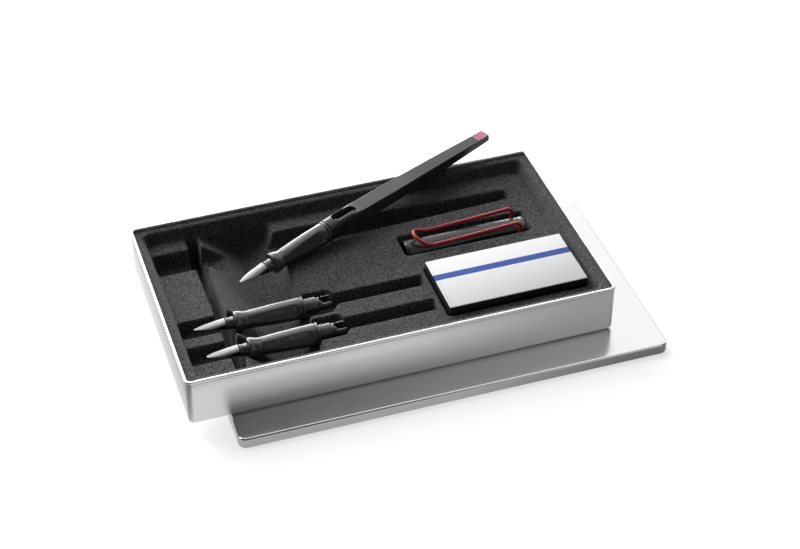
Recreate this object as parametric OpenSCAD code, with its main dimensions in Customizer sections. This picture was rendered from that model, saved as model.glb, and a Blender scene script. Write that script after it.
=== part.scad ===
// Calligraphy set in a flat metal tin, in millimetres, +Z up. The lid lies flat with its top
// face up, the open tray stands on it, and a flocked insert in the tray holds two spare
// grips with nibs, a cap and a carton of cartridges. The long pen leans across the tray.
// Places are stated in the tray's own frame, with its origin at the middle of the tray's
// underside, X along the tray and Y towards its back. The whole part is then moved so that
// its origin is on the table, in the middle of everything.

/* [Tray] */
// Length over the rim
tray_l = 230; // [228:0.5:236]
// Width over the rim, front to back
tray_w = 131; // [130:0.5:135]
// Height with the rim
tray_h = 28.5; // [28:0.25:32]
// Thickness of the sheet metal
sheet_t = 0.6; // [0.4:0.05:0.7]
// Radius of the upright corners
tray_corner_r = 3.4; // [3:0.1:6]
// Radius from the walls to the underside
tray_edge_r = 2.6; // [1.5:0.1:2.8]
// Height of the folded rim
rim_h = 1.5; // [1:0.1:1.7]
// Width of the folded rim
rim_t = 1.5; // [1.2:0.1:2]
// How far the rim stands out from the wall
rim_out = 0.25; // [0.1:0.05:0.5]

/* [Lid] */
// Height of the lid
lid_h = 6; // [5.5:0.25:9]
// Gap all round between the lid's folded edge and the tray's rim
lid_gap = 0.2; // [0.1:0.05:0.5]
// Thickness of the lid's folded edge
lid_hem_t = 0.8; // [0.7:0.05:1.2]
// Height of the lid's folded edge
lid_hem_h = 1.4; // [1:0.1:2]
// Radius between the lid's top face and its sides
lid_edge_r = 1.2; // [0.8:0.1:2]
// Distance of the lid's middle to the right of the tray's middle
lid_x = 22.4; // [15:0.1:30]
// Distance of the lid's middle in front of the tray's middle
lid_front = 18; // [10:0.1:25]
// Turn of the lid, seen from above
lid_turn = -0.4; // [-1:0.1:1]
// Thickness of the felt liner under the lid's top
liner_t = 2.8; // [1:0.1:3.2]
// Gap all round between the liner and the lid's folded edge
liner_gap = 5; // [1:0.5:15]

/* [Insert] */
// Wall of the flocked formed sheet
insert_t = 1.2; // [0.8:0.05:1.4]
// Depth of the insert's flange below the tray's rim
flange_drop = 1.8; // [1.75:0.05:2.5]
// Gap between the insert and the tray's wall
insert_gap = 0.3; // [0.1:0.05:0.6]
// Width of the flange, from the tray's wall to the sunk deck's wall
flange_w = 4.4; // [3.5:0.1:4.8]
// Depth of the sunk deck below the flange
deck_drop = 6.8; // [6:0.1:7.4]
// How much the sunk deck's wall leans outwards on its way up
deck_draft = 2; // [0.5:0.1:2.2]
// Radius of the sunk deck's upright corners
deck_r = 2.5; // [1.5:0.1:4]
// Gap between a thing and the floor under it
seat_gap = 0.3; // [0.2:0.05:0.5]

/* [Wells in the insert] */
// From the tray's left end to the long pen channel
channel_left = 8.2; // [8:0.1:11]
// From the tray's right end to the long pen channel
channel_right = 20.8; // [17:0.1:30]
// From the tray's back to the middle line of the pen channel
channel_back = 25.5; // [23.5:0.1:27.5]
// Width of the pen channel at its left end
channel_w0 = 15.8; // [14:0.1:17]
// Width of the pen channel at its right end
channel_w1 = 7.2; // [6:0.1:9]
// Length of the pen channel's wide part, before it narrows
channel_wide_l = 86.8; // [70:0.2:106]
// Depth of the pen channel below the deck
channel_depth = 10.4; // [8:0.1:12]
// From the tray's left end to the narrow cross trough
trough_left = 28.5; // [27:0.1:29]
// Width of the cross trough
trough_w = 6.2; // [5:0.1:6.4]
// Gap between the trough's and the scoop's ends and the deck's wall
trough_end_gap = 1; // [0.5:0.1:3]
// From the tray's left end to the finger scoop's right edge
scoop_left = 74.8; // [73:0.1:76]
// Length of the scoop's straight slope, measured along the tray
scoop_run = 21.6; // [20:0.1:22]
// Depth of the finger scoop below the deck
scoop_depth = 17.5; // [15:0.1:17.6]
// From the tray's left end to the small wells for the spare nibs
nib_well_left = 8.5; // [8:0.1:11]
// Width of a spare nib's well
nib_well_w = 12.6; // [9:0.1:14]
// Depth of a spare nib's well below the deck
nib_well_depth = 7.9; // [7:0.1:10]
// Width of a spare grip's channel
spare_w = 16; // [14:0.1:17]
// Depth of a spare grip's channel below the deck
spare_depth = 9.2; // [8.6:0.1:10]
// From the tray's left end to the end of a spare channel's wide part
spare_step_left = 88; // [86:0.5:90]
// Length of the S-shaped step from the wide part to the tail
spare_step_l = 4; // [2:0.5:6]
// Width of a spare channel's narrow tail
spare_tail_w = 8; // [6:0.1:10]
// Gap between a spare channel's tail and the carton
spare_tail_gap = 4; // [3.5:0.5:9]
// Room in front of the cap's mouth and behind its end
cap_end_room = 1.2; // [0.6:0.1:2]
// Width of the cap's well
cap_well_w = 16.3; // [15.8:0.1:17]
// Depth of the cap's well below the deck
cap_well_depth = 12.4; // [11:0.1:14]
// Room all round the carton
carton_room = 0.8; // [0.4:0.1:1.2]
// Radius of the wells' upright corners
well_r = 1.5; // [0.5:0.1:2]

/* [Grip and nib] */
// Nib tip to the front lip of the grip
lip_s = 21; // [20:0.1:22]
// Nib tip to the end of the ring bead
ring_s = 58.8; // [57:0.1:61]
// Radius of the grip's front lip
lip_r = 5.9; // [5.5:0.1:6.1]
// Radius of the grip's waist
waist_r = 4.8; // [4.6:0.1:5.2]
// Radius of the ring bead, the widest part
ring_r = 6.2; // [6.1:0.05:6.3]
// Length of the threaded neck
neck_l = 7; // [6:0.1:8]
// Radius of the threaded neck
neck_r = 4.5; // [4.3:0.05:4.6]
// Length of the forked sleeve behind the neck
sleeve_l = 7.4; // [6:0.1:8]
// Outer radius of the forked sleeve
sleeve_r = 3.8; // [3.5:0.05:3.9]
// Gap between the fork's two ears
fork_gap = 5.2; // [4.5:0.1:5.6]
// Radius of the collar between the nib and the grip
collar_r = 3.3; // [3.1:0.1:3.8]
// Length of the collar
collar_l = 4.5; // [3:0.1:5]
// Distance of the finger facets from the grip's axis
facet_r = 4.75; // [4.6:0.05:5]
// How far the finger facets are turned from the top towards the sides
facet_turn = 62; // [50:1:75]
// Width of the nib where it leaves the collar
nib_w = 6.2; // [5.5:0.1:6.4]
// Length of the nib's tapering point
nib_point_l = 9; // [7:0.1:11]
// Thickness of the nib
nib_t = 0.35; // [0.25:0.05:0.5]
// Height of the nib's tip above the axis
nib_tip_rise = 0.8; // [0.5:0.1:1.4]
// Nib tip width on the pen
pen_nib_tip = 1.5; // [1.1:0.1:2.3]
// Nib tip width on the rear spare
spare_1_tip = 1.1; // [1.1:0.1:2.3]
// Nib tip width on the front spare
spare_2_tip = 1.9; // [1.1:0.1:2.3]

/* [Barrel] */
// Nib tip to the end of the pen
pen_l = 178; // [172:0.5:184]
// Radius of the barrel at its front
barrel_r = 6.3; // [6.2:0.05:6.5]
// Half width over the side flats at the front
barrel_front_hw = 5.1; // [5.05:0.05:5.3]
// Half width over the side flats along the middle
barrel_mid_hw = 4.7; // [4.6:0.05:4.85]
// Half width over the side flats at the end
barrel_end_hw = 3.15; // [3:0.05:3.4]
// Nib tip to the start of the flat top
flat_s = 79; // [77.5:0.5:80]
// Half height where the flat top starts
flat_hh = 4.15; // [4:0.05:4.3]
// Half height two thirds of the way along
barrel_late_hh = 2.75; // [2.65:0.05:2.9]
// Half height at the end
barrel_end_hh = 1.75; // [1.65:0.05:1.9]
// Half width of the ink window
window_hw = 3.5; // [2.5:0.1:3.8]
// Nib tip to the front end of the ink window
window_s = 63.6; // [63:0.1:64.5]
// Length of the red inlay near the end
inlay_l = 7.3; // [6:0.1:9]
// Depth of the red inlay
inlay_t = 0.6; // [0.4:0.05:0.8]
// Running gap between parts that slide into each other
slide_gap = 0.1; // [0.08:0.01:0.12]

/* [Leaning pen] */
// From the tray's left end to the nib tip
pen_left = 46.8; // [45:0.1:49]
// Place of the nib tip behind the tray's middle
pen_y = 8.1; // [7.5:0.1:10]
// Turn of the pen, seen from above
pen_yaw = 22.9; // [21.5:0.1:24]

/* [Spare grips] */
// From the tray's left end to the rear spare's nib tip
spare_1_left = 15.8; // [14:0.1:17]
// From the tray's left end to the front spare's nib tip
spare_2_left = 17.2; // [15:0.1:18]
// Middle of the rear spare's channel, in front of the tray's middle
spare_1_front = 16.5; // [15.5:0.1:17.5]
// Middle of the front spare's channel, in front of the tray's middle
spare_2_front = 37.4; // [36.5:0.1:38.5]
// How far the rear spare lies behind the middle of its channel
spare_1_aside = 1.5; // [0:0.1:1.6]

/* [Cap] */
// From the tray's right end to the cap's mouth
cap_right = 90.3; // [88.5:0.1:91]
// Place of the cap's axis behind the tray's middle
cap_y = 14.05; // [13.5:0.05:15]
// Length with the end plug
cap_l = 69.4; // [66:0.1:71]
// Outer radius
cap_r = 6.9; // [6.8:0.05:7.1]
// Half width over the flats at the mouth
cap_mouth_hw = 6.7; // [6.6:0.05:6.8]
// Half width over the flats near the end
cap_flat_hw = 5.5; // [5.4:0.05:5.6]
// Thinnest wall
cap_wall = 0.7; // [0.5:0.05:0.8]
// Length of the end plug that shows
plug_l = 3.6; // [3:0.1:5]
// Radius of the clip's wire
wire_r = 1.05; // [0.9:0.01:1.1]
// Distance of each clip wire from the cap's middle plane
wire_v = 6.65; // [6.6:0.05:6.7]
// Height of the clip's wires above the cap's axis at its rear bend
clip_rear_u = 9.9; // [8:0.1:11]
// Height of the clip's wires where they lie closest to the cap
clip_low_u = 7.1; // [6.8:0.1:8]
// Height of the clip's raised front end
clip_tip_u = 11.4; // [9:0.1:13]
// Distance of the clip's front end from the cap's mouth
clip_tip_a = 5.6; // [4:0.1:9]

/* [Carton of cartridges] */
// From the tray's right end to the carton
carton_right = 9.4; // [8.6:0.1:9.9]
// Front to back middle of the carton, in front of the tray's middle
carton_front = 28.55; // [28:0.05:29.5]
// Length
carton_l = 76.6; // [75:0.1:77]
// Width
carton_w = 39.4; // [38.5:0.1:39.8]
// Height
carton_h = 9.4; // [7.6:0.1:10]
// How far the carton stands out of the deck
carton_proud = 4.8; // [4:0.1:6]
// Thickness of the card
card_t = 0.5; // [0.3:0.05:0.5]
// Length of the flap's tucked lip
tuck_l = 4; // [2:0.5:5]
// Length of a cartridge
cartridge_l = 71; // [66:0.5:72]
// Radius of a cartridge's front part
cartridge_r = 2.75; // [2.6:0.05:2.8]
// Length of a cartridge's front part
cartridge_front_l = 26; // [22:0.5:27]
// Radius of a cartridge's rear part
cartridge_tail_r = 2.2; // [2:0.05:2.25]

/* [Hidden] */
$fn = 48;
cut = 1;         // how far a cutter runs past the face it cuts
tall = 40;       // longer than any section is high or wide
hull_fn = 32;    // facets of the hulled corners
cartridge_n = 5; // one node each

// Lid and tray outlines
lid_l = tray_l + 2 * (lid_gap + lid_hem_t);
lid_w = tray_w + 2 * (lid_gap + lid_hem_t);
lid_corner_r = tray_corner_r + lid_gap + lid_hem_t;
liner_l = lid_l - 2 * (lid_hem_t + liner_gap);
liner_w = lid_w - 2 * (lid_hem_t + liner_gap);
wall_l = tray_l - 2 * rim_out;
wall_w = tray_w - 2 * rim_out;
wall_corner_r = tray_corner_r - rim_out;

// Heights and outlines of the insert
flange_z = tray_h - flange_drop;
deck_z = flange_z - deck_drop;
insert_l = wall_l - 2 * (sheet_t + insert_gap);
insert_w = wall_w - 2 * (sheet_t + insert_gap);
insert_r = wall_corner_r - sheet_t;
skirt_z = tray_edge_r + insert_gap;
deck_l = insert_l - 2 * (flange_w + deck_draft);
deck_w = insert_w - 2 * (flange_w + deck_draft);
trough_hw = deck_w / 2 - trough_end_gap;
trough_z = sheet_t + insert_t;
scoop_angle = atan(scoop_depth / scoop_run);
spare_floor_z = deck_z - spare_depth;
nib_floor_z = deck_z - nib_well_depth;

// Places along the tray, from its ends
left_end = -tray_l / 2;
right_end = tray_l / 2;
channel_x0 = left_end + channel_left;
channel_x1 = right_end - channel_right;
channel_y = tray_w / 2 - channel_back;
trough_x0 = left_end + trough_left;
scoop_x1 = left_end + scoop_left;
scoop_cx = scoop_x1 - scoop_depth;
nib_well_x0 = left_end + nib_well_left;
spare_step_x = left_end + spare_step_left;
spare_1_x = left_end + spare_1_left;
spare_2_x = left_end + spare_2_left;
pen_x = left_end + pen_left;
cap_x = right_end - cap_right;
carton_x = right_end - carton_right - carton_l;
spare_tail_x = carton_x - spare_tail_gap;

// The pen's own frame: its axis is +X, the nib tip is at 0 and the nib's face is up
neck_s = ring_s;
sleeve_s = neck_s + neck_l;
fork_s = sleeve_s + sleeve_l;
nib_base_s = lip_s - collar_l;
nib_slope = atan((collar_r - nib_t - nib_tip_rise) / nib_base_s);
nib_curve_r = 5.4;
waist_s = lip_s + 7.5;
groove_s = ring_s - 2.2;
shoulder_r = ring_r - 0.25;
cartridge_in = 4;    // how far the cartridge's nose reaches into the neck
cartridge_s = sleeve_s - cartridge_in;
barrel_s = ring_s + slide_gap;
mid_s = pen_l - 74;
late_s = pen_l - 31;
flat_run = 4;
barrel_end_r = 1.4;
inlay_end_gap = 1;
inlay_s = pen_l - inlay_end_gap - inlay_l;

// Radius of the grip from its waist to the groove at the ring
function grip_r(s) = waist_r + (shoulder_r - waist_r) * sin(90 * (s - waist_s) / (groove_s - waist_s));

// The pen leans on the scoop's edge and on the tray's rim
pen_edge_s = (scoop_x1 - pen_x) / cos(pen_yaw);
rim_inner_y = tray_w / 2 - rim_t;
side_taper = (barrel_mid_hw - barrel_end_hw) / (pen_l - barrel_end_r - mid_s);
pen_rim_s = (rim_inner_y - pen_y - (barrel_mid_hw + side_taper * mid_s) * cos(pen_yaw))
    / (sin(pen_yaw) - side_taper * cos(pen_yaw));
rim_share = (pen_rim_s - flat_s - flat_run) / (late_s - flat_s - flat_run);
rim_hh = flat_hh + (barrel_late_hh - flat_hh) * rim_share + seat_gap;
grip_edge_r = grip_r(pen_edge_s);
pen_tilt = atan((tray_h + rim_hh - deck_z - grip_edge_r) / (pen_rim_s - pen_edge_s));
pen_z = deck_z + seat_gap + grip_edge_r / cos(pen_tilt) - pen_edge_s * tan(pen_tilt);

// The cap's own frame: its axis is +X and its mouth is at 0
cap_z = deck_z - cap_well_depth + seat_gap + cap_r;
shell_l = cap_l - plug_l;
cap_end_t = 4;
cap_bore_l = shell_l - cap_end_t;
cap_taper_l = 45;
pivot_a = shell_l - cap_end_t / 2;
plug_stub_r = 2.2;
pin_v = 3.3;
pin_end_gap = 0.3;
bend_r = 3.2;
clip_lean = 1.4;
clip_back_a = pivot_a + clip_lean - bend_r;
clip_low_a = 15;
clip_front_a = clip_tip_a + wire_v;

// The carton
carton_y = -carton_front;
carton_z = deck_z + carton_proud - carton_h;
cartridge_pitch = (carton_w - 2 * card_t) / cartridge_n;

// Middle of everything, seen from above
lid_turned_hl = (lid_l / 2 - lid_corner_r) * cos(lid_turn)
    + (lid_w / 2 - lid_corner_r) * abs(sin(lid_turn)) + lid_corner_r;
lid_turned_hw = (lid_w / 2 - lid_corner_r) * cos(lid_turn)
    + (lid_l / 2 - lid_corner_r) * abs(sin(lid_turn)) + lid_corner_r;
pen_end_y = pen_y + pen_l * cos(pen_tilt) * sin(pen_yaw) + barrel_end_hw * cos(pen_yaw);
left_x = min(-tray_l / 2, lid_x - lid_turned_hl);
right_x = max(tray_l / 2, lid_x + lid_turned_hl);
front_y = min(-tray_w / 2, -lid_front - lid_turned_hw);
back_y = max(tray_w / 2, pen_end_y);
mid_x = (left_x + right_x) / 2;
mid_y = (front_y + back_y) / 2;

// Frames
module in_tray() {
    translate([-mid_x, -mid_y, lid_h]) children();
}

module in_lid() {
    in_tray() translate([lid_x, -lid_front, 0]) rotate([0, 0, lid_turn]) mirror([0, 0, 1]) children();
}

module in_pen() {
    in_tray() translate([pen_x, pen_y, pen_z]) rotate([0, -pen_tilt, pen_yaw]) children();
}

module in_spare(tip_x, axis_y) {
    in_tray() translate([tip_x, axis_y, spare_floor_z + seat_gap + ring_r]) children();
}

module in_cap() {
    in_tray() translate([cap_x, cap_y, cap_z]) children();
}

module in_carton() {
    in_tray() translate([carton_x, carton_y, carton_z]) children();
}

// Shared shapes
module round_rect(l, w, r) {
    square([l - 2 * r, w], center = true);
    square([l, w - 2 * r], center = true);
    for (sx = [-1, 1], sy = [-1, 1])
        translate([sx * (l / 2 - r), sy * (w / 2 - r)]) circle(r);
}

module round_slab(l, w, h, r) {
    linear_extrude(h) round_rect(l, w, r);
}

// A closed tub with round upright corners and a rounded bottom edge, open side up
module tub(l, w, h, corner_r, edge_r) {
    hull()
        for (sx = [-1, 1], sy = [-1, 1])
            translate([sx * (l / 2 - corner_r), sy * (w / 2 - corner_r), 0])
                rotate_extrude($fn = hull_fn) corner_profile(h, corner_r, min(edge_r, corner_r));
}

module corner_profile(h, corner_r, edge_r) {
    translate([0, edge_r]) square([corner_r, h - edge_r]);
    intersection() {
        translate([corner_r - edge_r, edge_r]) circle(edge_r, $fn = hull_fn);
        square([corner_r, edge_r]);
    }
    square([max(corner_r - edge_r, 0.01), edge_r]);
}

// A cylinder or cone along +X from a to b
module along(a, b, r, r2 = undef) {
    translate([a, 0, 0]) rotate([0, 90, 0]) cylinder(h = b - a, r1 = r, r2 = is_undef(r2) ? r : r2);
}

// A plan outline of points [x, half width], mirrored about the axis
module plan_form(points) {
    mirrored = [for (i = [len(points) - 1:-1:0]) [points[i].x, -points[i].y]];
    translate([0, 0, -tall / 2]) linear_extrude(tall) polygon(concat(points, mirrored));
}

// The same for an outline of points [x, half height]
module side_form(points) {
    rotate([90, 0, 0]) plan_form(points);
}

// Points on an arc about c from angle a0 to a1
function arc(c, r, a0, a1, n) = [for (i = [0:n]) let (a = a0 + (a1 - a0) * i / n)
    [c.x + r * cos(a), c.y + r * sin(a)]];

// Lid
module lid_shell() {
    color("silver") in_lid() difference() {
        tub(lid_l, lid_w, lid_h, lid_corner_r, lid_edge_r);
        difference() {
            translate([0, 0, sheet_t])
                tub(lid_l - 2 * sheet_t, lid_w - 2 * sheet_t, lid_h,
                    lid_corner_r - sheet_t, lid_edge_r - sheet_t);
            translate([0, 0, lid_h - lid_hem_h]) lid_hem();
        }
    }
}

module lid_hem() {
    difference() {
        round_slab(lid_l, lid_w, lid_hem_h, lid_corner_r);
        translate([0, 0, -cut])
            round_slab(lid_l - 2 * lid_hem_t, lid_w - 2 * lid_hem_t, lid_hem_h + 2 * cut,
                lid_corner_r - lid_hem_t);
    }
}

module lid_liner() {
    color([0.16, 0.16, 0.17]) in_lid() translate([0, 0, sheet_t])
        round_slab(liner_l, liner_w, liner_t, lid_corner_r);
}

// Tray
module tray_shell() {
    color([0.78, 0.79, 0.8]) in_tray() difference() {
        union() {
            tub(wall_l, wall_w, tray_h, wall_corner_r, tray_edge_r);
            translate([0, 0, tray_h - rim_h]) round_slab(tray_l, tray_w, rim_h, tray_corner_r);
        }
        translate([0, 0, sheet_t])
            tub(wall_l - 2 * sheet_t, wall_w - 2 * sheet_t, tray_h - rim_h - sheet_t,
                wall_corner_r - sheet_t, tray_edge_r - sheet_t);
        translate([0, 0, tray_h - rim_h - cut])
            round_slab(tray_l - 2 * rim_t, tray_w - 2 * rim_t, rim_h + 2 * cut, tray_corner_r - rim_t);
    }
}

// Insert. Each well is cut as it is, and grown by the sheet's thickness it is the well's wall.
module insert() {
    color([0.13, 0.13, 0.14]) in_tray() difference() {
        union() {
            insert_cover();
            wells(insert_t);
        }
        wells(0);
    }
}

module insert_cover() {
    difference() {
        translate([0, 0, skirt_z]) round_slab(insert_l, insert_w, flange_z - skirt_z, insert_r);
        translate([0, 0, skirt_z - cut])
            round_slab(insert_l - 2 * insert_t, insert_w - 2 * insert_t,
                flange_z - insert_t - skirt_z + cut, insert_r - insert_t);
    }
}

module wells(grow) {
    sunk_deck(grow);
    pen_channel(grow);
    box_well(trough_x0, trough_x0 + trough_w, -trough_hw, trough_hw, trough_z, grow);
    scoop(grow);
    spare_channel(spare_1_front, grow);
    spare_channel(spare_2_front, grow);
    box_well(cap_x - cap_end_room, cap_x + cap_l + cap_end_room, cap_y - cap_well_w / 2,
        cap_y + cap_well_w / 2, deck_z - cap_well_depth, grow);
    box_well(carton_x - carton_room, carton_x + carton_l + carton_room,
        carton_y - carton_w / 2 - carton_room, carton_y + carton_w / 2 + carton_room,
        carton_z - seat_gap, grow);
}

// The sunk deck's room: four cones at the corners, and a leaning wall between each pair
module sunk_deck(grow) {
    z0 = deck_z - grow;
    z1 = flange_z + (grow > 0 ? 0 : cut);
    lean = deck_draft / deck_drop;
    more = (z1 - z0) * lean;
    hl = deck_l / 2 - deck_r;
    hw = deck_w / 2 - deck_r;
    r = deck_r + grow;
    for (sx = [-1, 1], sy = [-1, 1])
        translate([sx * hl, sy * hw, z0]) cylinder(h = z1 - z0, r1 = r, r2 = r + more);
    rotate([90, 0, 90]) translate([0, 0, -hl]) linear_extrude(2 * hl)
        polygon([[-hw - r, z0], [hw + r, z0], [hw + r + more, z1], [-hw - r - more, z1]]);
    rotate([90, 0, 0]) translate([0, 0, -hw]) linear_extrude(2 * hw)
        polygon([[-hl - r, z0], [hl + r, z0], [hl + r + more, z1], [-hl - r - more, z1]]);
}

module box_well(x0, x1, y0, y1, floor_z, grow) {
    z1 = deck_z + (grow > 0 ? 0 : cut);
    translate([(x0 + x1) / 2, (y0 + y1) / 2, floor_z - grow])
        round_slab(x1 - x0 + 2 * grow, y1 - y0 + 2 * grow, z1 - floor_z + grow, well_r + grow);
}

// A straight channel with a wide part, a step and a narrower part
module stepped_channel(y, x0, x1, x2, x3, w_wide, w_tail, floor_z, grow) {
    z1 = deck_z + (grow > 0 ? 0 : cut);
    wide = w_wide / 2 + grow;
    tail = w_tail / 2 + grow;
    translate([0, y, floor_z - grow]) linear_extrude(z1 - floor_z + grow)
        polygon([[x0 - grow, -wide], [x1, -wide], [x2, -tail], [x3 + grow, -tail],
            [x3 + grow, tail], [x2, tail], [x1, wide], [x0 - grow, wide]]);
}

module pen_channel(grow) {
    stepped_channel(channel_y, channel_x0, channel_x0 + channel_wide_l, channel_x1 - cut, channel_x1,
        channel_w0, channel_w1, deck_z - channel_depth, grow);
}

module spare_channel(front, grow) {
    trough_mid_x = trough_x0 + trough_w / 2;
    stepped_channel(-front, trough_mid_x, spare_step_x, spare_step_x + spare_step_l, spare_tail_x, spare_w,
        spare_tail_w, spare_floor_z, grow);
    box_well(nib_well_x0, trough_mid_x, -front - nib_well_w / 2, -front + nib_well_w / 2, nib_floor_z, grow);
}

// A straight slope on the left and a hollow curve up to the deck on the right
module scoop(grow) {
    hw = trough_hw + grow;
    top = deck_z + (grow > 0 ? 0 : cut);
    slope_x0 = scoop_cx - scoop_run - grow / sin(scoop_angle);
    slope_z1 = deck_z - scoop_depth - grow / cos(scoop_angle);
    translate([0, hw, 0]) rotate([90, 0, 0]) linear_extrude(2 * hw) {
        polygon([[slope_x0, deck_z], [scoop_cx, slope_z1], [scoop_cx, top], [slope_x0, top]]);
        intersection() {
            translate([scoop_cx, deck_z]) circle(scoop_depth + grow, $fn = 96);
            translate([scoop_cx - cut, 0]) square([scoop_depth + grow + cut, deck_z]);
        }
        translate([scoop_cx - cut, deck_z - cut]) square([scoop_depth + grow + cut, top - deck_z + cut]);
    }
}

// Grip, nib and feed, used three times
module grip_form() {
    lip_l = 1.2;
    bead_r = 0.9;
    groove_d = 0.35;
    groove_l = 0.3;
    ridge = 0.15;
    ridge_l = 0.5;
    ridge_pitch = 1.1;
    ridge_n = 5;
    chamfer = 0.3;
    neck_chamfer = 0.4;
    fork_root = 2;
    difference() {
        union() {
            rotate([90, 0, 90]) rotate_extrude() polygon(concat(
                [[0, nib_base_s], [collar_r, nib_base_s], [collar_r, lip_s - 1], [collar_r + 0.5, lip_s]],
                arc([lip_r - lip_l, lip_s + lip_l], lip_l, -90, 0, 6),
                [for (i = [1:6]) let (t = i / 6) [lip_r + (waist_r - lip_r) * (1 - cos(180 * t)) / 2,
                    lip_s + lip_l + (waist_s - lip_s - lip_l) * t]],
                [for (i = [1:8]) let (s = waist_s + (groove_s - waist_s) * i / 8) [grip_r(s), s]],
                [[shoulder_r - groove_d, groove_s + groove_l / 3],
                    [shoulder_r - groove_d, groove_s + groove_l * 4 / 3]],
                arc([ring_r - bead_r, ring_s - bead_r], bead_r, -80, 80, 8),
                [[neck_r, ring_s], [neck_r - ridge, ring_s + ridge_l], [neck_r - ridge, sleeve_s - ridge_l],
                    [neck_r - neck_chamfer, sleeve_s], [sleeve_r, sleeve_s], [sleeve_r, fork_s - chamfer],
                    [sleeve_r - chamfer, fork_s], [0, fork_s]]));
            for (i = [1:ridge_n]) let (s = ring_s + i * ridge_pitch) along(s, s + ridge_l, neck_r);
        }
        along(cartridge_s, fork_s + cut, cartridge_r + slide_gap);
        translate([sleeve_s + fork_root, -fork_gap / 2, -tall / 2]) cube([tall, fork_gap, tall]);
        for (side = [-1, 1]) rotate([side * facet_turn, 0, 0]) finger_facet();
    }
}

// Cutter for one leaf-shaped flat with round ends
module finger_facet() {
    r = 4.4;
    s0 = lip_s + 6;
    s1 = ring_s - r;
    translate([0, 0, facet_r]) linear_extrude(tall) {
        translate([s0 + r, 0]) circle(r);
        translate([s1 - r, 0]) circle(r);
        translate([s0 + r, -r]) square([s1 - s0 - 2 * r, 2 * r]);
    }
}

// The nib's curved sheet lies along a slanted tube, and its outline is cut from above
module in_nib_tube() {
    translate([nib_base_s, 0, collar_r - nib_t]) rotate([0, -nib_slope, 0])
        translate([0, 0, -nib_curve_r]) children();
}

module nib_tube(r) {
    in_nib_tube() along(-2 * nib_base_s, nib_base_s, r);
}

module nib_form(tip_w) {
    base_s = nib_base_s - slide_gap;
    round_s = nib_point_l / 2;
    round_hw = (tip_w + nib_w) / 4 + 0.3;
    intersection() {
        difference() {
            nib_tube(nib_curve_r);
            nib_tube(nib_curve_r - nib_t);
        }
        translate([0, 0, -nib_curve_r]) linear_extrude(2 * tall)
            polygon([[0, -tip_w / 2], [round_s, -round_hw], [nib_point_l, -nib_w / 2], [base_s, -nib_w / 2],
                [base_s, nib_w / 2], [nib_point_l, nib_w / 2], [round_s, round_hw], [0, tip_w / 2]]);
        in_nib_tube() translate([-tall, -tall / 2, 0]) cube([2 * tall, tall, tall]);
    }
}

module feed_form() {
    base_s = nib_base_s - slide_gap;
    front_s = 6.5;
    front_drop = 0.1;
    chin_s = 9.5;
    chin_drop = 1.7;
    feed_hw = 2.5;
    feed_drop = 3;
    skin = 0.02;
    intersection() {
        nib_tube(nib_curve_r - nib_t - skin);
        rotate([90, 0, 0]) translate([0, 0, -feed_hw]) linear_extrude(2 * feed_hw)
            polygon([[front_s, -front_drop], [chin_s, -chin_drop], [base_s, -feed_drop], [base_s, tall],
                [front_s, tall]]);
    }
}

// Pen
module pen_grip() {
    color([0.2, 0.2, 0.21]) in_pen() grip_form();
}

module pen_nib() {
    color([0.85, 0.85, 0.84]) in_pen() nib_form(pen_nib_tip);
}

module pen_feed() {
    color([0.08, 0.08, 0.08]) in_pen() feed_form();
}

// A cartridge along +X, its nose at 0
module cartridge_form() {
    nose_l = 3;
    nose_r = 1.5;
    end_r = 0.8;
    rotate([90, 0, 90]) rotate_extrude() polygon(concat(
        [[0, 0], [nose_r, 0], [nose_r, nose_l], [cartridge_r - 0.5, nose_l], [cartridge_r, nose_l + 0.5],
            [cartridge_r, nose_l + cartridge_front_l], [cartridge_tail_r, nose_l + cartridge_front_l + 1.5]],
        arc([cartridge_tail_r - end_r, cartridge_l - end_r], end_r, 0, 90, 4),
        [[0, cartridge_l]]));
}

module pen_cartridge() {
    color([0.16, 0.2, 0.42]) in_pen() translate([cartridge_s + slide_gap, 0, 0]) cartridge_form();
}

// Outer form of the barrel: round at the front, wedge-shaped from there on
module barrel_form() {
    straight_l = 14;
    nose_r = 1.2;
    intersection() {
        along(barrel_s, pen_l, barrel_r);
        plan_form(concat(
            [[barrel_s, barrel_front_hw], [mid_s - straight_l, barrel_mid_hw], [mid_s, barrel_mid_hw],
                [pen_l - barrel_end_r, barrel_end_hw]],
            arc([pen_l - barrel_end_r, barrel_end_hw - barrel_end_r], barrel_end_r, 90, 0, 6)));
        side_form(concat(
            [[barrel_s, tall / 4], [flat_s, tall / 4], [flat_s, barrel_r]],
            [for (i = [1:6]) let (t = i / 6)
                [flat_s + flat_run * t, barrel_r - (barrel_r - flat_hh) * sin(90 * t)]],
            [[late_s, barrel_late_hh]],
            arc([pen_l - nose_r, barrel_end_hh - nose_r], nose_r, 90, 0, 5)));
    }
}

module inlay_slot(gap) {
    side_wall = 0.35;
    hw = barrel_end_hw - side_wall - gap;
    translate([inlay_s + gap, -hw, barrel_end_hh - inlay_t + gap])
        cube([inlay_l - 2 * gap, 2 * hw, tall]);
}

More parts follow.
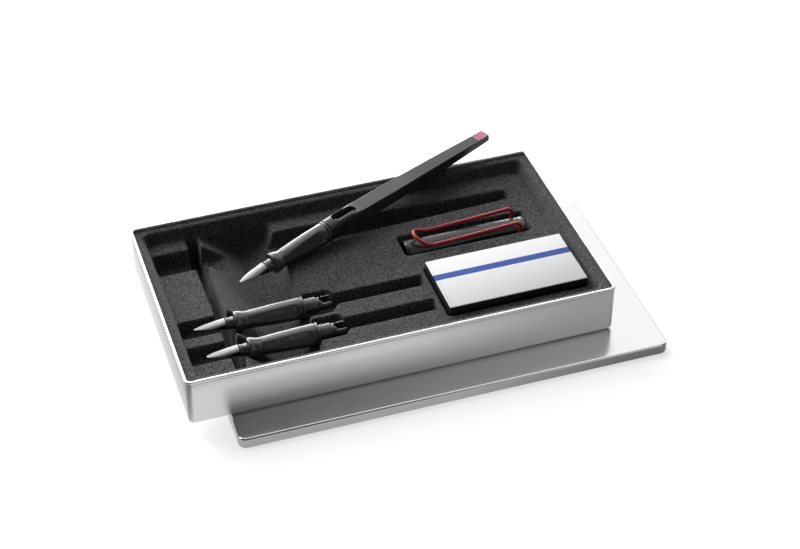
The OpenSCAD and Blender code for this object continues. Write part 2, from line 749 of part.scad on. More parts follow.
module pen_barrel() {
    window_l = 17;
    window_floor_u = 1;
    tail_slide = slide_gap + 0.1;
    wide_bore_l = neck_l + 0.4;
    sleeve_bore_s = fork_s + 0.8;
    pull_room = 10.4;
    nose_and_step = 6;
    front_bore_s = cartridge_s + cartridge_front_l + nose_and_step + pull_room;
    tail_bore_s = cartridge_s + cartridge_l + pull_room;
    color([0.27, 0.27, 0.28]) in_pen() difference() {
        barrel_form();
        along(barrel_s - cut, barrel_s + wide_bore_l, neck_r + slide_gap);
        along(barrel_s, sleeve_bore_s, sleeve_r + slide_gap);
        along(barrel_s, front_bore_s, cartridge_r + tail_slide);
        along(barrel_s, tail_bore_s, cartridge_tail_r + tail_slide);
        translate([0, 0, window_floor_u]) linear_extrude(tall) {
            translate([window_s + window_hw, 0]) circle(window_hw);
            translate([window_s + window_l - window_hw, 0]) circle(window_hw);
            translate([window_s + window_hw, -window_hw])
                square([window_l - 2 * window_hw, 2 * window_hw]);
        }
        inlay_slot(0);
    }
}

module barrel_inlay() {
    color([0.78, 0.35, 0.37]) in_pen() intersection() {
        barrel_form();
        inlay_slot(0.03);
    }
}

// Spare grips
module spare_1_grip() {
    color([0.2, 0.2, 0.21]) in_spare(spare_1_x, spare_1_aside - spare_1_front) grip_form();
}

module spare_1_nib() {
    color([0.85, 0.85, 0.84]) in_spare(spare_1_x, spare_1_aside - spare_1_front) nib_form(spare_1_tip);
}

module spare_1_feed() {
    color([0.08, 0.08, 0.08]) in_spare(spare_1_x, spare_1_aside - spare_1_front) feed_form();
}

module spare_2_grip() {
    color([0.2, 0.2, 0.21]) in_spare(spare_2_x, -spare_2_front) grip_form();
}

module spare_2_nib() {
    color([0.85, 0.85, 0.84]) in_spare(spare_2_x, -spare_2_front) nib_form(spare_2_tip);
}

module spare_2_feed() {
    color([0.08, 0.08, 0.08]) in_spare(spare_2_x, -spare_2_front) feed_form();
}

// Cap, round with two flats that draw in from the mouth
module cap_form(a0, a1, inset) {
    intersection() {
        along(a0, a1, cap_r - inset);
        plan_form([[-cut, cap_mouth_hw - inset], [0, cap_mouth_hw - inset],
            [cap_taper_l, cap_flat_hw - inset], [cap_l + cut, cap_flat_hw - inset]]);
    }
}

module cap_shell() {
    pin_hole_l = cap_flat_hw - pin_v + pin_end_gap;
    stub_hole_l = 1.2;
    hole_gap = slide_gap / 2;
    color([0.24, 0.24, 0.25]) in_cap() difference() {
        cap_form(0, shell_l, 0);
        cap_form(-cut, cap_bore_l, cap_wall);
        for (side = [-1, 1])
            translate([pivot_a, side * (cap_flat_hw - pin_hole_l / 2 + cut / 2), 0]) rotate([90, 0, 0])
                cylinder(h = pin_hole_l + cut, r = wire_r + hole_gap, center = true);
        along(shell_l - stub_hole_l, shell_l + cut, plug_stub_r + hole_gap);
    }
}

module cap_plug() {
    edge = 0.8;
    stub_l = 1;
    color([0.2, 0.2, 0.21]) in_cap() {
        intersection() {
            cap_form(shell_l, cap_l, 0);
            union() {
                along(shell_l, cap_l - edge, cap_r);
                along(cap_l - edge, cap_l, cap_r, cap_r - edge);
            }
        }
        along(shell_l - stub_l, shell_l + cut, plug_stub_r);
    }
}

module cap_inner() {
    inner_r = cap_flat_hw - cap_wall - slide_gap;
    inner_l = 0.385 * cap_bore_l;
    inner_wall = 1.15 * cap_wall;
    color([0.1, 0.1, 0.1]) in_cap() difference() {
        along(cap_bore_l - inner_l, cap_bore_l, inner_r);
        along(cap_bore_l - inner_l - cut, cap_bore_l - inner_wall, inner_r - inner_wall);
    }
}

// Half of the clip's wire, from the pivot pin to the middle of its front bend
function clip_u(a) = a > clip_low_a
    ? clip_low_u + (clip_rear_u - clip_low_u) * pow((a - clip_low_a) / (clip_back_a - clip_low_a), 1.3)
    : clip_low_u + (clip_tip_u - clip_low_u) * pow((clip_low_a - a) / (clip_low_a - clip_tip_a), 1.5);
clip_half = concat(
    [for (i = [0:4]) [pivot_a + clip_lean * i / 4, wire_v, (clip_rear_u - bend_r) * i / 4]],
    [for (i = [1:5]) let (t = 90 * i / 5)
        [clip_back_a + bend_r * cos(t), wire_v, clip_rear_u - bend_r + bend_r * sin(t)]],
    [for (i = [1:12]) let (a = clip_back_a + (clip_front_a - clip_back_a) * i / 12)
        [a, wire_v, min(clip_u(a), clip_rear_u)]],
    [for (i = [1:9]) let (t = 10 * i, a = clip_front_a - wire_v * sin(t))
        [a, wire_v * cos(t), clip_u(a)]]);
clip_path = concat(clip_half, [for (i = [len(clip_half) - 2:-1:0])
    [clip_half[i].x, -clip_half[i].y, clip_half[i].z]]);

function unit(v) = v / norm(v);
function tangent(p, i) = unit(p[min(i + 1, len(p) - 1)] - p[max(i - 1, 0)]);

module wire(path, r, sides) {
    rings = [for (i = [0:len(path) - 1])
        let (t = tangent(path, i), n = wire_normal(path, i), b = cross(t, n))
        for (k = [0:sides - 1]) let (w = 360 * k / sides) path[i] + r * (cos(w) * n + sin(w) * b)];
    last = (len(path) - 1) * sides;
    faces = concat(
        [[for (k = [0:sides - 1]) k]],
        [for (i = [0:len(path) - 2], k = [0:sides - 1])
            let (a = i * sides + k, b = i * sides + (k + 1) % sides) [a, a + sides, b + sides, b]],
        [[for (k = [sides - 1:-1:0]) last + k]]);
    polyhedron(rings, faces, convexity = 4);
}

// Normal of the wire, carried along the path without twist
function wire_normal(path, i) = i == 0 ? [0, 1, 0]
    : let (n = wire_normal(path, i - 1), t = tangent(path, i)) unit(n - (n * t) * t);

module cap_clip() {
    wire_sides = 10;
    color([0.68, 0.14, 0.17]) in_cap() {
        wire(clip_path, wire_r, wire_sides);
        for (side = [-1, 1])
            translate([pivot_a, side * (pin_v + wire_v + wire_r) / 2, 0]) rotate([90, 0, 0])
                cylinder(h = wire_v + wire_r - pin_v, r = wire_r, center = true);
    }
}

// Carton: a tray of card with a hinged top
module carton_base() {
    color([0.1, 0.1, 0.12]) in_carton() difference() {
        translate([0, -carton_w / 2, 0]) cube([carton_l, carton_w, carton_h - card_t]);
        translate([card_t, -carton_w / 2 + card_t, card_t])
            cube([carton_l - 2 * card_t, carton_w - 2 * card_t, carton_h]);
    }
}

module carton_flap() {
    lip_gap = 0.3;
    closed_gap = 0.02;
    color([0.95, 0.95, 0.95]) in_carton() {
        translate([0, -carton_w / 2, carton_h - card_t + closed_gap]) cube([carton_l, carton_w, card_t]);
        translate([carton_l - 2 * card_t - lip_gap, -carton_w / 2 + 2 * card_t, carton_h - card_t - tuck_l])
            cube([card_t, carton_w - 4 * card_t, tuck_l + card_t]);
    }
}

module cartridge(i) {
    end_gap = 1.5;
    lie_gap = 0.05;
    y = (i - (cartridge_n + 1) / 2) * cartridge_pitch;
    color([0.16, 0.2, 0.42]) in_carton()
        translate([card_t + end_gap, y, card_t + cartridge_r + lie_gap]) cartridge_form();
}

lid_shell();
lid_liner();
tray_shell();
insert();
pen_grip();
pen_nib();
pen_feed();
pen_cartridge();
pen_barrel();
barrel_inlay();
spare_1_grip();
spare_1_nib();
spare_1_feed();
spare_2_grip();
spare_2_nib();
spare_2_feed();
cap_shell();
cap_inner();
cap_plug();
cap_clip();
carton_base();
carton_flap();
cartridge(1);  // cartridge_1
cartridge(2);  // cartridge_2
cartridge(3);  // cartridge_3
cartridge(4);  // cartridge_4
cartridge(5);  // cartridge_5
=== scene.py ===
"""The looks of a calligraphy set in a flat metal tin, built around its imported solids.

The lid lies flat and the open tray stands on it. A flocked insert holds two spare grips with
their nibs, a cap with a wire clip and a carton of cartridges, and the pen leans across the tray.
Sizes are in millimetres in each piece's own frame, and every mesh is made in metres.
"""

import logging
import math
from dataclasses import dataclass, field
from enum import Enum
from typing import Sequence

import bpy
import numpy as np
from mathutils import Matrix, Vector


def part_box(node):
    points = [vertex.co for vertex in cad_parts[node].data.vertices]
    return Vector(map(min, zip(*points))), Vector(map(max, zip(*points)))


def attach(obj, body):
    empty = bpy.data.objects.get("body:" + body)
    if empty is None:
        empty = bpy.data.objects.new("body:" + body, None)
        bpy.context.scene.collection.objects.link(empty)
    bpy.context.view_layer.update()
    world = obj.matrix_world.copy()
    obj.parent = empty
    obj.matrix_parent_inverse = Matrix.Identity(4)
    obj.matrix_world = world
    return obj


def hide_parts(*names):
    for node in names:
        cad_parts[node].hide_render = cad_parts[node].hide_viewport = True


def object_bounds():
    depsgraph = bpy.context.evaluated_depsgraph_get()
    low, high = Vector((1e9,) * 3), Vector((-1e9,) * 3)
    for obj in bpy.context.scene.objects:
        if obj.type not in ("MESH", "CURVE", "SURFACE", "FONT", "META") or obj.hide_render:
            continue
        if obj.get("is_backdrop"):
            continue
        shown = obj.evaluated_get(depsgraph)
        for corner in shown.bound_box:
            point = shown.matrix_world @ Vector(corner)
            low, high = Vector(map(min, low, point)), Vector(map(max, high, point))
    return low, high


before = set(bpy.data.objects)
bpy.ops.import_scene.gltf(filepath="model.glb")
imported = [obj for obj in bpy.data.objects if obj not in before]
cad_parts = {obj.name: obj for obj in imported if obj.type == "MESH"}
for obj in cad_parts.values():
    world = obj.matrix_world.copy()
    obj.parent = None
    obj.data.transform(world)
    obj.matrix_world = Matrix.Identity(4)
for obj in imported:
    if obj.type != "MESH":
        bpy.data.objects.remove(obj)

logging.basicConfig(level=logging.INFO, format="%(name)s: %(message)s")
LOG = logging.getLogger("calligraphy_set")

MM = 0.001
WHITE = (1.0, 1.0, 1.0, 1.0)
CAD_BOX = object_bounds()

Point = tuple[float, float, float]
Path = list[tuple[float, float]]
Array = np.ndarray
Well = tuple[float, float, float, float, float]
Piece = bpy.types.Object
Node = bpy.types.Node
NodeTree = bpy.types.NodeTree
Socket = bpy.types.NodeSocket


# Placing


@dataclass(frozen=True)
class Place:
    """A frame of the set, in millimetres.

    Attributes:
        origin: The frame's origin in the whole set's frame.
        yaw: Turn about the vertical, in degrees.
        tilt: Rise of the frame's X axis, in degrees.
    """

    origin: Point
    yaw: float = 0.0
    tilt: float = 0.0

    def matrix(self) -> Matrix:
        """Returns the matrix from the frame, in millimetres, to the set, in metres."""
        turn = Matrix.Rotation(math.radians(self.yaw), 4, "Z")
        rise = Matrix.Rotation(math.radians(-self.tilt), 4, "Y")
        return Matrix.Scale(MM, 4) @ Matrix.Translation(self.origin) @ turn @ rise


TRAY_ORIGIN: Point = (-11.9154, 2.58487, 6.0)


def in_tray(x: float, y: float, z: float, yaw: float = 0.0, tilt: float = 0.0) -> Place:
    """Places a frame by its origin in the tray's own frame.

    Args:
        x: Distance to the right of the tray's middle.
        y: Distance behind the tray's middle.
        z: Height above the tray's underside.
        yaw: Turn about the vertical, in degrees.
        tilt: Rise of the frame's X axis, in degrees.

    Returns:
        The place in the whole set's frame.
    """
    ox, oy, oz = TRAY_ORIGIN
    return Place((x + ox, y + oy, z + oz), yaw, tilt)


# Mesh making


@dataclass
class Shell:
    """Points and faces of one mesh, in millimetres, in a piece's own frame.

    Attributes:
        points: The vertices.
        faces: Each face as indices of its vertices, anticlockwise from outside.
    """

    points: Array
    faces: list[tuple[int, ...]]

    def joined(self, *others: "Shell") -> "Shell":
        """Joins this shell with others.

        Args:
            others: The shells to add.

        Returns:
            One shell that holds them all.
        """
        points, faces, start = [self.points], list(self.faces), len(self.points)
        for other in others:
            points.append(other.points)
            faces += [tuple(i + start for i in f) for f in other.faces]
            start += len(other.points)
        return Shell(np.vstack(points), faces)

    def shifted(self, x: float = 0.0, y: float = 0.0, z: float = 0.0) -> "Shell":
        """Returns the shell moved by x, y and z."""
        return Shell(self.points + np.array([x, y, z]), list(self.faces))

    def turned(self, angle: float) -> "Shell":
        """Returns the shell turned by angle degrees about the Z axis."""
        turn = np.array(Matrix.Rotation(math.radians(angle), 3, "Z"))
        return Shell(self.points @ turn.T, list(self.faces))


def loft(rings: Sequence[Array], loop: bool = False) -> Shell:
    """Joins closed rings of equally many points by quads.

    Args:
        rings: The rings, each an array of points in the same order.
        loop: Whether the last ring joins the first, or else both are filled.

    Returns:
        The shell.
    """
    n, m = len(rings[0]), len(rings)
    faces: list[tuple[int, ...]] = []
    for i in range(m if loop else m - 1):
        a, b = i * n, ((i + 1) % m) * n
        for k in range(n):
            j = (k + 1) % n
            faces.append((a + k, a + j, b + j, b + k))
    if not loop:
        faces.append(tuple(range(n - 1, -1, -1)))
        faces.append(tuple((m - 1) * n + k for k in range(n)))
    return Shell(np.vstack(rings), faces)


def turns(sides: int) -> Array:
    """Returns the angles of equally many points round a circle, from the top, in radians."""
    return np.arange(sides) * (2 * math.pi / sides)


def ring_about(s: float, radius: Array | float, angles: Array) -> Array:
    """Returns a ring about the X axis at s, from its radius at each angle."""
    return np.stack([np.full(len(angles), s), -radius * np.sin(angles), radius * np.cos(angles)], 1)


def revolved(profile: Path, sides: int = 64) -> Shell:
    """Turns a profile of (s, radius) about the X axis.

    Args:
        profile: The outline, from its start to its end along the axis.
        sides: Points round the axis.

    Returns:
        A closed shell.
    """
    return loft([ring_about(s, r, turns(sides)) for s, r in profile])


def tube(s0: float, s1: float, outer: float, inner: float, edge: float = 0.1, sides: int = 64) -> Shell:
    """Makes a pipe along X with softened ends.

    Args:
        s0: Where it starts.
        s1: Where it ends.
        outer: Its outer radius.
        inner: Its bore's radius.
        edge: Size of the softened edges.
        sides: Points round the axis.

    Returns:
        A closed shell.
    """
    path = [(s0 + edge, outer), (s1 - edge, outer), (s1 - edge / 3, outer - edge / 3), (s1, outer - edge),
            (s1, inner + edge), (s1 - edge, inner), (s0 + edge, inner), (s0, inner + edge),
            (s0, outer - edge), (s0 + edge / 3, outer - edge / 3)]
    return loft([ring_about(s, r, turns(sides)) for s, r in path], loop=True)


def rounded_rect(length: float, width: float, radius: float, steps: int, z: float) -> Array:
    """Points of a rounded rectangle about the origin, anticlockwise from above.

    Args:
        length: Size along X.
        width: Size along Y.
        radius: Radius of its corners.
        steps: Points on each corner, less one.
        z: Height of the points.

    Returns:
        The ring.
    """
    r = max(radius, 0.01)
    out = []
    for i, (sx, sy) in enumerate(((1, 1), (-1, 1), (-1, -1), (1, -1))):
        for k in range(steps + 1):
            a = math.radians(90 * i + 90 * k / steps)
            out.append((sx * (length / 2 - r) + r * math.cos(a), sy * (width / 2 - r) + r * math.sin(a), z))
    return np.array(out)


def swept_rect(path: Path, length: float, width: float, radius: float, steps: int) -> Shell:
    """Sweeps a wall's section round a rounded rectangle.

    Args:
        path: The section as (distance inside the outline, height), from the middle of the sheet's
            lower face round its edge to the middle of its upper face.
        length: Size of the outline along X.
        width: Size of the outline along Y.
        radius: Radius of the outline's corners.
        steps: Points on each corner, less one.

    Returns:
        A closed shell.
    """
    return loft([rounded_rect(length - 2 * inset, width - 2 * inset, radius - inset, steps, z)
                 for inset, z in path])


def arc(cx: float, cy: float, radius: float, start: float, end: float, steps: int) -> Path:
    """Points on an arc about (cx, cy), from start to end degrees."""
    angles = [math.radians(start + (end - start) * i / steps) for i in range(steps + 1)]
    return [(cx + radius * math.cos(a), cy + radius * math.sin(a)) for a in angles]


def around(middle: float, *distances: float) -> list[float]:
    """Returns the places at these distances on both sides of the middle."""
    return [middle + side * distance for distance in distances for side in (-1, 1)]


def ease(t: Array | float) -> Array | float:
    """Returns a smooth step of t from 0 to 1."""
    t = np.clip(t, 0.0, 1.0)
    return t * t * (3 - 2 * t)


def slot_ring(s0: float, s1: float, half_width: float, z: float, steps: int) -> Array:
    """Returns a level ring with round ends, along X from s0 to s1."""
    ends = ((s1 - half_width, -90), (s0 + half_width, 90))
    return np.array([(x, y, z) for cx, a in ends for x, y in arc(cx, 0, half_width, a, a + 180, steps)])


def block(x0: float, x1: float, y0: float, y1: float, z0: float, z1: float) -> Shell:
    """Makes a plain box between two corners."""
    ring = [(x1, y1), (x0, y1), (x0, y0), (x1, y0)]
    return loft([np.array([(x, y, z) for x, y in ring]) for z in (z0, z1)])


def swept_wire(path: Array, radius: float, sides: int = 20) -> Shell:
    """Carries a round section along a path without twist.

    Args:
        path: The path's points.
        radius: Radius of the wire.
        sides: Points round it.

    Returns:
        A closed shell.
    """
    tangents = np.gradient(path, axis=0)
    tangents /= np.linalg.norm(tangents, axis=1)[:, None]
    normal, angles, rings = np.array([0.0, 1.0, 0.0]), turns(sides), []
    for point, tangent in zip(path, tangents):
        normal = normal - normal.dot(tangent) * tangent
        normal /= np.linalg.norm(normal)
        other = np.cross(tangent, normal)
        rings.append(point + radius * (np.outer(np.cos(angles), normal) + np.outer(np.sin(angles), other)))
    return loft(rings)


def linked(name: str, data: bpy.types.ID) -> Piece:
    """Makes an object from its data and puts it in the scene."""
    made = bpy.data.objects.new(name, data)
    bpy.context.scene.collection.objects.link(made)
    return made


def new_object(name: str, shell: Shell, place: Place = Place((0.0, 0.0, 0.0))) -> Piece:
    """Makes a Blender object from a shell.

    Args:
        name: Name of the piece.
        shell: Its points and faces.
        place: Its frame, which is the set's own by default.

    Returns:
        The object, with its place in its mesh.
    """
    mesh = bpy.data.meshes.new(name)
    mesh.from_pydata(shell.points.tolist(), [], shell.faces)
    mesh.transform(place.matrix())
    mesh.validate()
    mesh.update()
    return linked(name, mesh)


def settled(piece: Piece) -> Piece:
    """Turns a piece and its modifiers into a plain mesh.

    Args:
        piece: The object to settle.

    Returns:
        The same object.
    """
    graph = bpy.context.evaluated_depsgraph_get()
    mesh = bpy.data.meshes.new_from_object(piece.evaluated_get(graph))
    mesh.name = piece.name
    piece.modifiers.clear()
    piece.data = mesh
    return piece


def carved(piece: Piece, place: Place, *cutters: Shell) -> Piece:
    """Cuts other shapes out of a piece.

    Args:
        piece: The object to cut.
        place: The frame of the shapes.
        cutters: The shapes to cut away.

    Returns:
        The cut piece, as a plain mesh.
    """
    for shell in cutters:
        cutter = new_object("cutter", shell, place)
        cut = piece.modifiers.new("cut", "BOOLEAN")
        cut.operation = "DIFFERENCE"
        cut.solver = "EXACT"
        cut.object = cutter
        settled(piece)
        bpy.data.objects.remove(cutter)
    return piece


def soft_edges(piece: Piece, width: float, angle: float = 32.0) -> Piece:
    """Rounds a piece's sharp edges.

    Args:
        piece: The object.
        width: Width of the rounding, in millimetres.
        angle: Sharpest angle between faces that is left alone, in degrees.

    Returns:
        The same object, as a plain mesh.
    """
    bevel = piece.modifiers.new("edges", "BEVEL")
    bevel.width = width * MM
    bevel.segments = 2
    bevel.limit_method = "ANGLE"
    bevel.angle_limit = math.radians(angle)
    return settled(piece)


def merged(name: str, pieces: Sequence[Piece]) -> Piece:
    """Joins several objects into one.

    Args:
        name: Name of the new piece.
        pieces: The objects, which are removed.

    Returns:
        The new object.
    """
    points, faces, start = [], [], 0
    for piece in pieces:
        points.append(coordinates(piece))
        faces += [tuple(i + start for i in p.vertices) for p in piece.data.polygons]
        start += len(points[-1])
    for piece in pieces:
        bpy.data.objects.remove(piece)
    mesh = bpy.data.meshes.new(name)
    mesh.from_pydata(np.vstack(points).tolist(), [], faces)
    mesh.update()
    return linked(name, mesh)


def coordinates(piece: Piece) -> Array:
    """Returns a piece's vertices, in metres."""
    co = np.empty(len(piece.data.vertices) * 3)
    piece.data.vertices.foreach_get("co", co)
    return co.reshape(-1, 3)


# Finishes


class Slot(Enum):
    """The material slots."""

    TRAY = "tray_metal"
    LID = "lid_metal"
    LINER = "liner_felt"
    FLOCK = "flock"
    GRIP = "grip_plastic"
    BARREL = "barrel_plastic"
    INLAY = "inlay_red"
    NIB = "nib_steel"
    FEED = "feed_plastic"
    INK = "ink_plastic"
    CAP = "cap_plastic"
    CLIP = "clip_red"
    CARTON_DARK = "carton_dark"
    CARTON_WHITE = "carton_white"


class Tree:
    """A node tree that is being built."""

    def __init__(self, tree: NodeTree) -> None:
        """Keeps the tree."""
        self.tree = tree

    def link(self, value: object, socket: Socket) -> None:
        """Links a value into a socket, or sets it where it is a constant."""
        if isinstance(value, Socket):
            self.tree.links.new(value, socket)
        elif socket.type == "RGBA" and len(value) == 3:
            socket.default_value = (*value, 1.0)
        else:
            socket.default_value = value

    def node(self, kind: str, inputs: dict | None = None, **settings: object) -> Node:
        """Adds a node.

        Args:
            kind: The node's type.
            inputs: Values or output sockets by input name or number.
            settings: The node's own properties.

        Returns:
            The node.
        """
        made = self.tree.nodes.new(kind)
        for key, value in settings.items():
            setattr(made, key, value)
        self.feed(made, inputs or {})
        return made

    def feed(self, node: Node, inputs: dict) -> None:
        """Gives values or output sockets to a node's inputs by name or number."""
        for key, value in inputs.items():
            self.link(value, node.inputs[key])

    def math(self, operation: str, *values: object) -> Socket:
        """Adds a Math node and returns its output."""
        return self.node("ShaderNodeMath", dict(enumerate(values)), operation=operation).outputs[0]

    def plus(self, a: object, b: object) -> Socket:
        """Returns the sum of two numbers."""
        return self.math("ADD", a, b)

    def times(self, a: object, b: object) -> Socket:
        """Returns the product of two numbers."""
        return self.math("MULTIPLY", a, b)

    def axis(self, vector: Socket, name: str) -> Socket:
        """Returns one axis of a vector."""
        return self.node("ShaderNodeSeparateXYZ", {"Vector": vector}).outputs[name]

    def ramp(self, value: Socket, low: float, high: float, first: float = 0.0, last: float = 1.0) -> Socket:
        """Maps a value smoothly from low..high to first..last and returns the socket."""
        inputs = {"Value": value, "From Min": low, "From Max": high, "To Min": first, "To Max": last}
        return self.node("ShaderNodeMapRange", inputs, interpolation_type="SMOOTHSTEP").outputs["Result"]

    def mix(self, factor: object, a: object, b: object) -> Socket:
        """Mixes two colours and returns the socket."""
        return self.node("ShaderNodeMix", {0: factor, 6: a, 7: b}, data_type="RGBA").outputs[2]

    def blend(self, factor: object, a: object, b: object) -> Socket:
        """Mixes two numbers and returns the socket."""
        return self.node("ShaderNodeMix", {0: factor, 2: a, 3: b}, data_type="FLOAT").outputs[0]

    def noise(self, vector: object, scale: object, detail: float, **inputs: float) -> Socket:
        """Adds a Noise Texture node and returns its value."""
        sockets = {"Vector": vector, "Scale": scale, "Detail": detail, **inputs}
        return self.node("ShaderNodeTexNoise", sockets).outputs["Fac"]


def new_group(name: str, inputs: dict[str, float], outputs: Sequence[str]) -> tuple[Tree, dict]:
    """Starts a shader node group that reads a Vector.

    Args:
        name: Name of the group.
        inputs: Its number inputs with their values.
        outputs: Its number outputs.

    Returns:
        The tree, and its sockets by name: inputs as they are, and "out" for the output node.
    """
    group = bpy.data.node_groups.new(name, "ShaderNodeTree")
    group.interface.new_socket("Vector", in_out="INPUT", socket_type="NodeSocketVector")
    for key, value in inputs.items():
        group.interface.new_socket(key, in_out="INPUT", socket_type="NodeSocketFloat").default_value = value
    for key in outputs:
        group.interface.new_socket(key, in_out="OUTPUT", socket_type="NodeSocketFloat")
    tree = Tree(group)
    entry = tree.node("NodeGroupInput")
    sockets = {o.name: o for o in entry.outputs if o.name}
    sockets["out"] = tree.node("NodeGroupOutput")
    return tree, sockets


class Effects:
    """The node groups that more than one finish uses, each built once."""

    def __init__(self) -> None:
        """Builds the groups."""
        self.grain = self._grain()
        self.streaks = self._streaks()
        self.dust = self._dust()

    @staticmethod
    def _grain() -> NodeTree:
        """Fine grain in two sizes, as in flock, moulded plastic and card."""
        sizes = {"Scale": 1000.0, "Coarse": 0.35, "Contrast": 1.0}
        tree, s = new_group("fine_grain", sizes, ("Value", "Height"))
        fine = tree.noise(s["Vector"], s["Scale"], 2.0, Roughness=0.6)
        wide = tree.noise(s["Vector"], tree.times(s["Scale"], s["Coarse"]), 1.0)
        both = tree.plus(tree.times(fine, 0.7), tree.times(wide, 0.3))
        centred = tree.times(tree.math("SUBTRACT", both, 0.5), s["Contrast"])
        value = tree.node("ShaderNodeClamp", {"Value": tree.plus(centred, 0.5)}).outputs[0]
        tree.feed(s["out"], {"Value": value, "Height": fine})
        return tree.tree

    @staticmethod
    def _streaks() -> NodeTree:
        """Fine straight scratches along X, as in brushed metal."""
        tree, s = new_group("brushed_streaks", {"Scale": 1500.0, "Stretch": 0.01}, ("Value", "Height"))
        axes = tree.node("ShaderNodeSeparateXYZ", {"Vector": s["Vector"]}).outputs
        drawn = {"X": tree.times(axes["X"], s["Stretch"]), "Y": axes["Y"], "Z": axes["Z"]}
        vector = tree.node("ShaderNodeCombineXYZ", drawn).outputs[0]
        fine = tree.noise(vector, s["Scale"], 3.0, Roughness=0.7)
        wide = tree.noise(vector, tree.times(s["Scale"], 0.12), 2.0)
        value = tree.plus(tree.times(fine, 0.6), tree.times(wide, 0.4))
        tree.feed(s["out"], {"Value": value, "Height": fine})
        return tree.tree

    @staticmethod
    def _dust() -> NodeTree:
        """Sparse light specks and faint wide smudges from handling."""
        sizes = {"Speck Scale": 900.0, "Specks": 0.06, "Smudges": 0.5}
        tree, s = new_group("handling_marks", sizes, ("Specks", "Smudge"))
        place = {"Vector": s["Vector"], "Scale": s["Speck Scale"]}
        cells = tree.node("ShaderNodeTexVoronoi", place, feature="F1").outputs
        near = tree.math("LESS_THAN", cells["Distance"], 0.22)
        pick = tree.node("ShaderNodeSeparateColor", {"Color": cells["Color"]}).outputs[0]
        chosen = tree.math("LESS_THAN", pick, s["Specks"])
        cloud = tree.noise(s["Vector"], 28.0, 4.0, Distortion=0.6)
        smudge = tree.times(tree.ramp(cloud, 0.45, 0.7), s["Smudges"])
        tree.feed(s["out"], {"Specks": tree.times(near, chosen), "Smudge": smudge})
        return tree.tree


@dataclass
class Paint:
    """A material that is being built, with what several finishes do to it.

    Attributes:
        tree: The material's tree.
        shader: Its Principled shader.
        coords: The object coordinates.
        effects: The shared node groups.
    """

    tree: Tree
    shader: Node
    coords: Socket
    effects: Effects

    def group(self, group: NodeTree, **inputs: float) -> list[Socket]:
        """Places a node group on the object coordinates and returns its outputs."""
        sockets = {"Vector": self.coords, **{key.replace("_", " "): value for key, value in inputs.items()}}
        return list(self.tree.node("ShaderNodeGroup", sockets, node_tree=group).outputs)

    def grain(self, scale: float, coarse: float, contrast: float) -> list[Socket]:
        """Adds fine grain and returns its value and its height."""
        return self.group(self.effects.grain, Scale=scale, Coarse=coarse, Contrast=contrast)

    def marks(self, scale: float, specks: float, smudges: float) -> list[Socket]:
        """Adds handling marks and returns the specks and the smudges."""
        return self.group(self.effects.dust, Speck_Scale=scale, Specks=specks, Smudges=smudges)

    def apply(self, color: Socket, rough: object, height: Socket, strength: float, depth: float) -> None:
        """Feeds the shader.

        Args:
            color: The base colour.
            rough: The roughness.
            height: The relief's height.
            strength: The relief's strength.
            depth: The relief's depth, in millimetres.
        """
        relief = {"Height": height, "Strength": strength, "Distance": depth * MM}
        normal = self.tree.node("ShaderNodeBump", relief).outputs["Normal"]
        self.tree.feed(self.shader, {"Base Color": color, "Roughness": rough, "Normal": normal})


def shaded(color: Point, share: float, lift: float = 0.0) -> Point:
    """Returns a colour times share, plus lift."""
    return tuple(min(c * share + lift, 1.0) for c in color)


@dataclass(frozen=True)
class Finish:
    """What every finish has: a name, a slot and the shader's constant values.

    Attributes:
        name: Name of the material.
        slot: The slot that it belongs to.
        color: Base colour, linear.
        roughness: Middle roughness.
        constants: Other sockets of the shader that are the same all over.
        depth: Depth of the relief, in millimetres.
        spread: How much the roughness varies.
    """

    name: str
    slot: Slot
    color: Point
    roughness: float
    constants: dict[str, object] = field(default_factory=dict)
    depth: float = 0.01
    spread: float = 0.08

    def build(self, effects: Effects) -> bpy.types.Material:
        """Builds the material.

        Args:
            effects: The shared node groups.

        Returns:
            The material.
        """
        material = bpy.data.materials.new(self.name)
        material.use_nodes = True
        material.diffuse_color = (*self.color, 1.0)
        tree = Tree(material.node_tree)
        shader = material.node_tree.nodes["Principled BSDF"]
        tree.feed(shader, {"Base Color": self.color, "Roughness": self.roughness, **self.constants})
        coords = tree.node("ShaderNodeTexCoord").outputs["Object"]
        self.dress(Paint(tree, shader, coords, effects))
        return material

    def dress(self, paint: Paint) -> None:
        """Adds what changes over the surface.

        Args:
            paint: The material.
        """
        raise NotImplementedError

    def varied(self, tree: Tree, value: Socket, edge: float, smudge: Socket, share: float) -> Socket:
        """Returns the roughness where it varies.

        Args:
            tree: The material's tree.
            value: What it follows.
            edge: Where the value starts to count, and as far from 1 where it ends.
            smudge: The smudges.
            share: How much the smudges add.
        """
        rough = tree.ramp(value, edge, 1 - edge, self.roughness - self.spread, self.roughness + self.spread)
        return tree.plus(rough, tree.times(smudge, share))


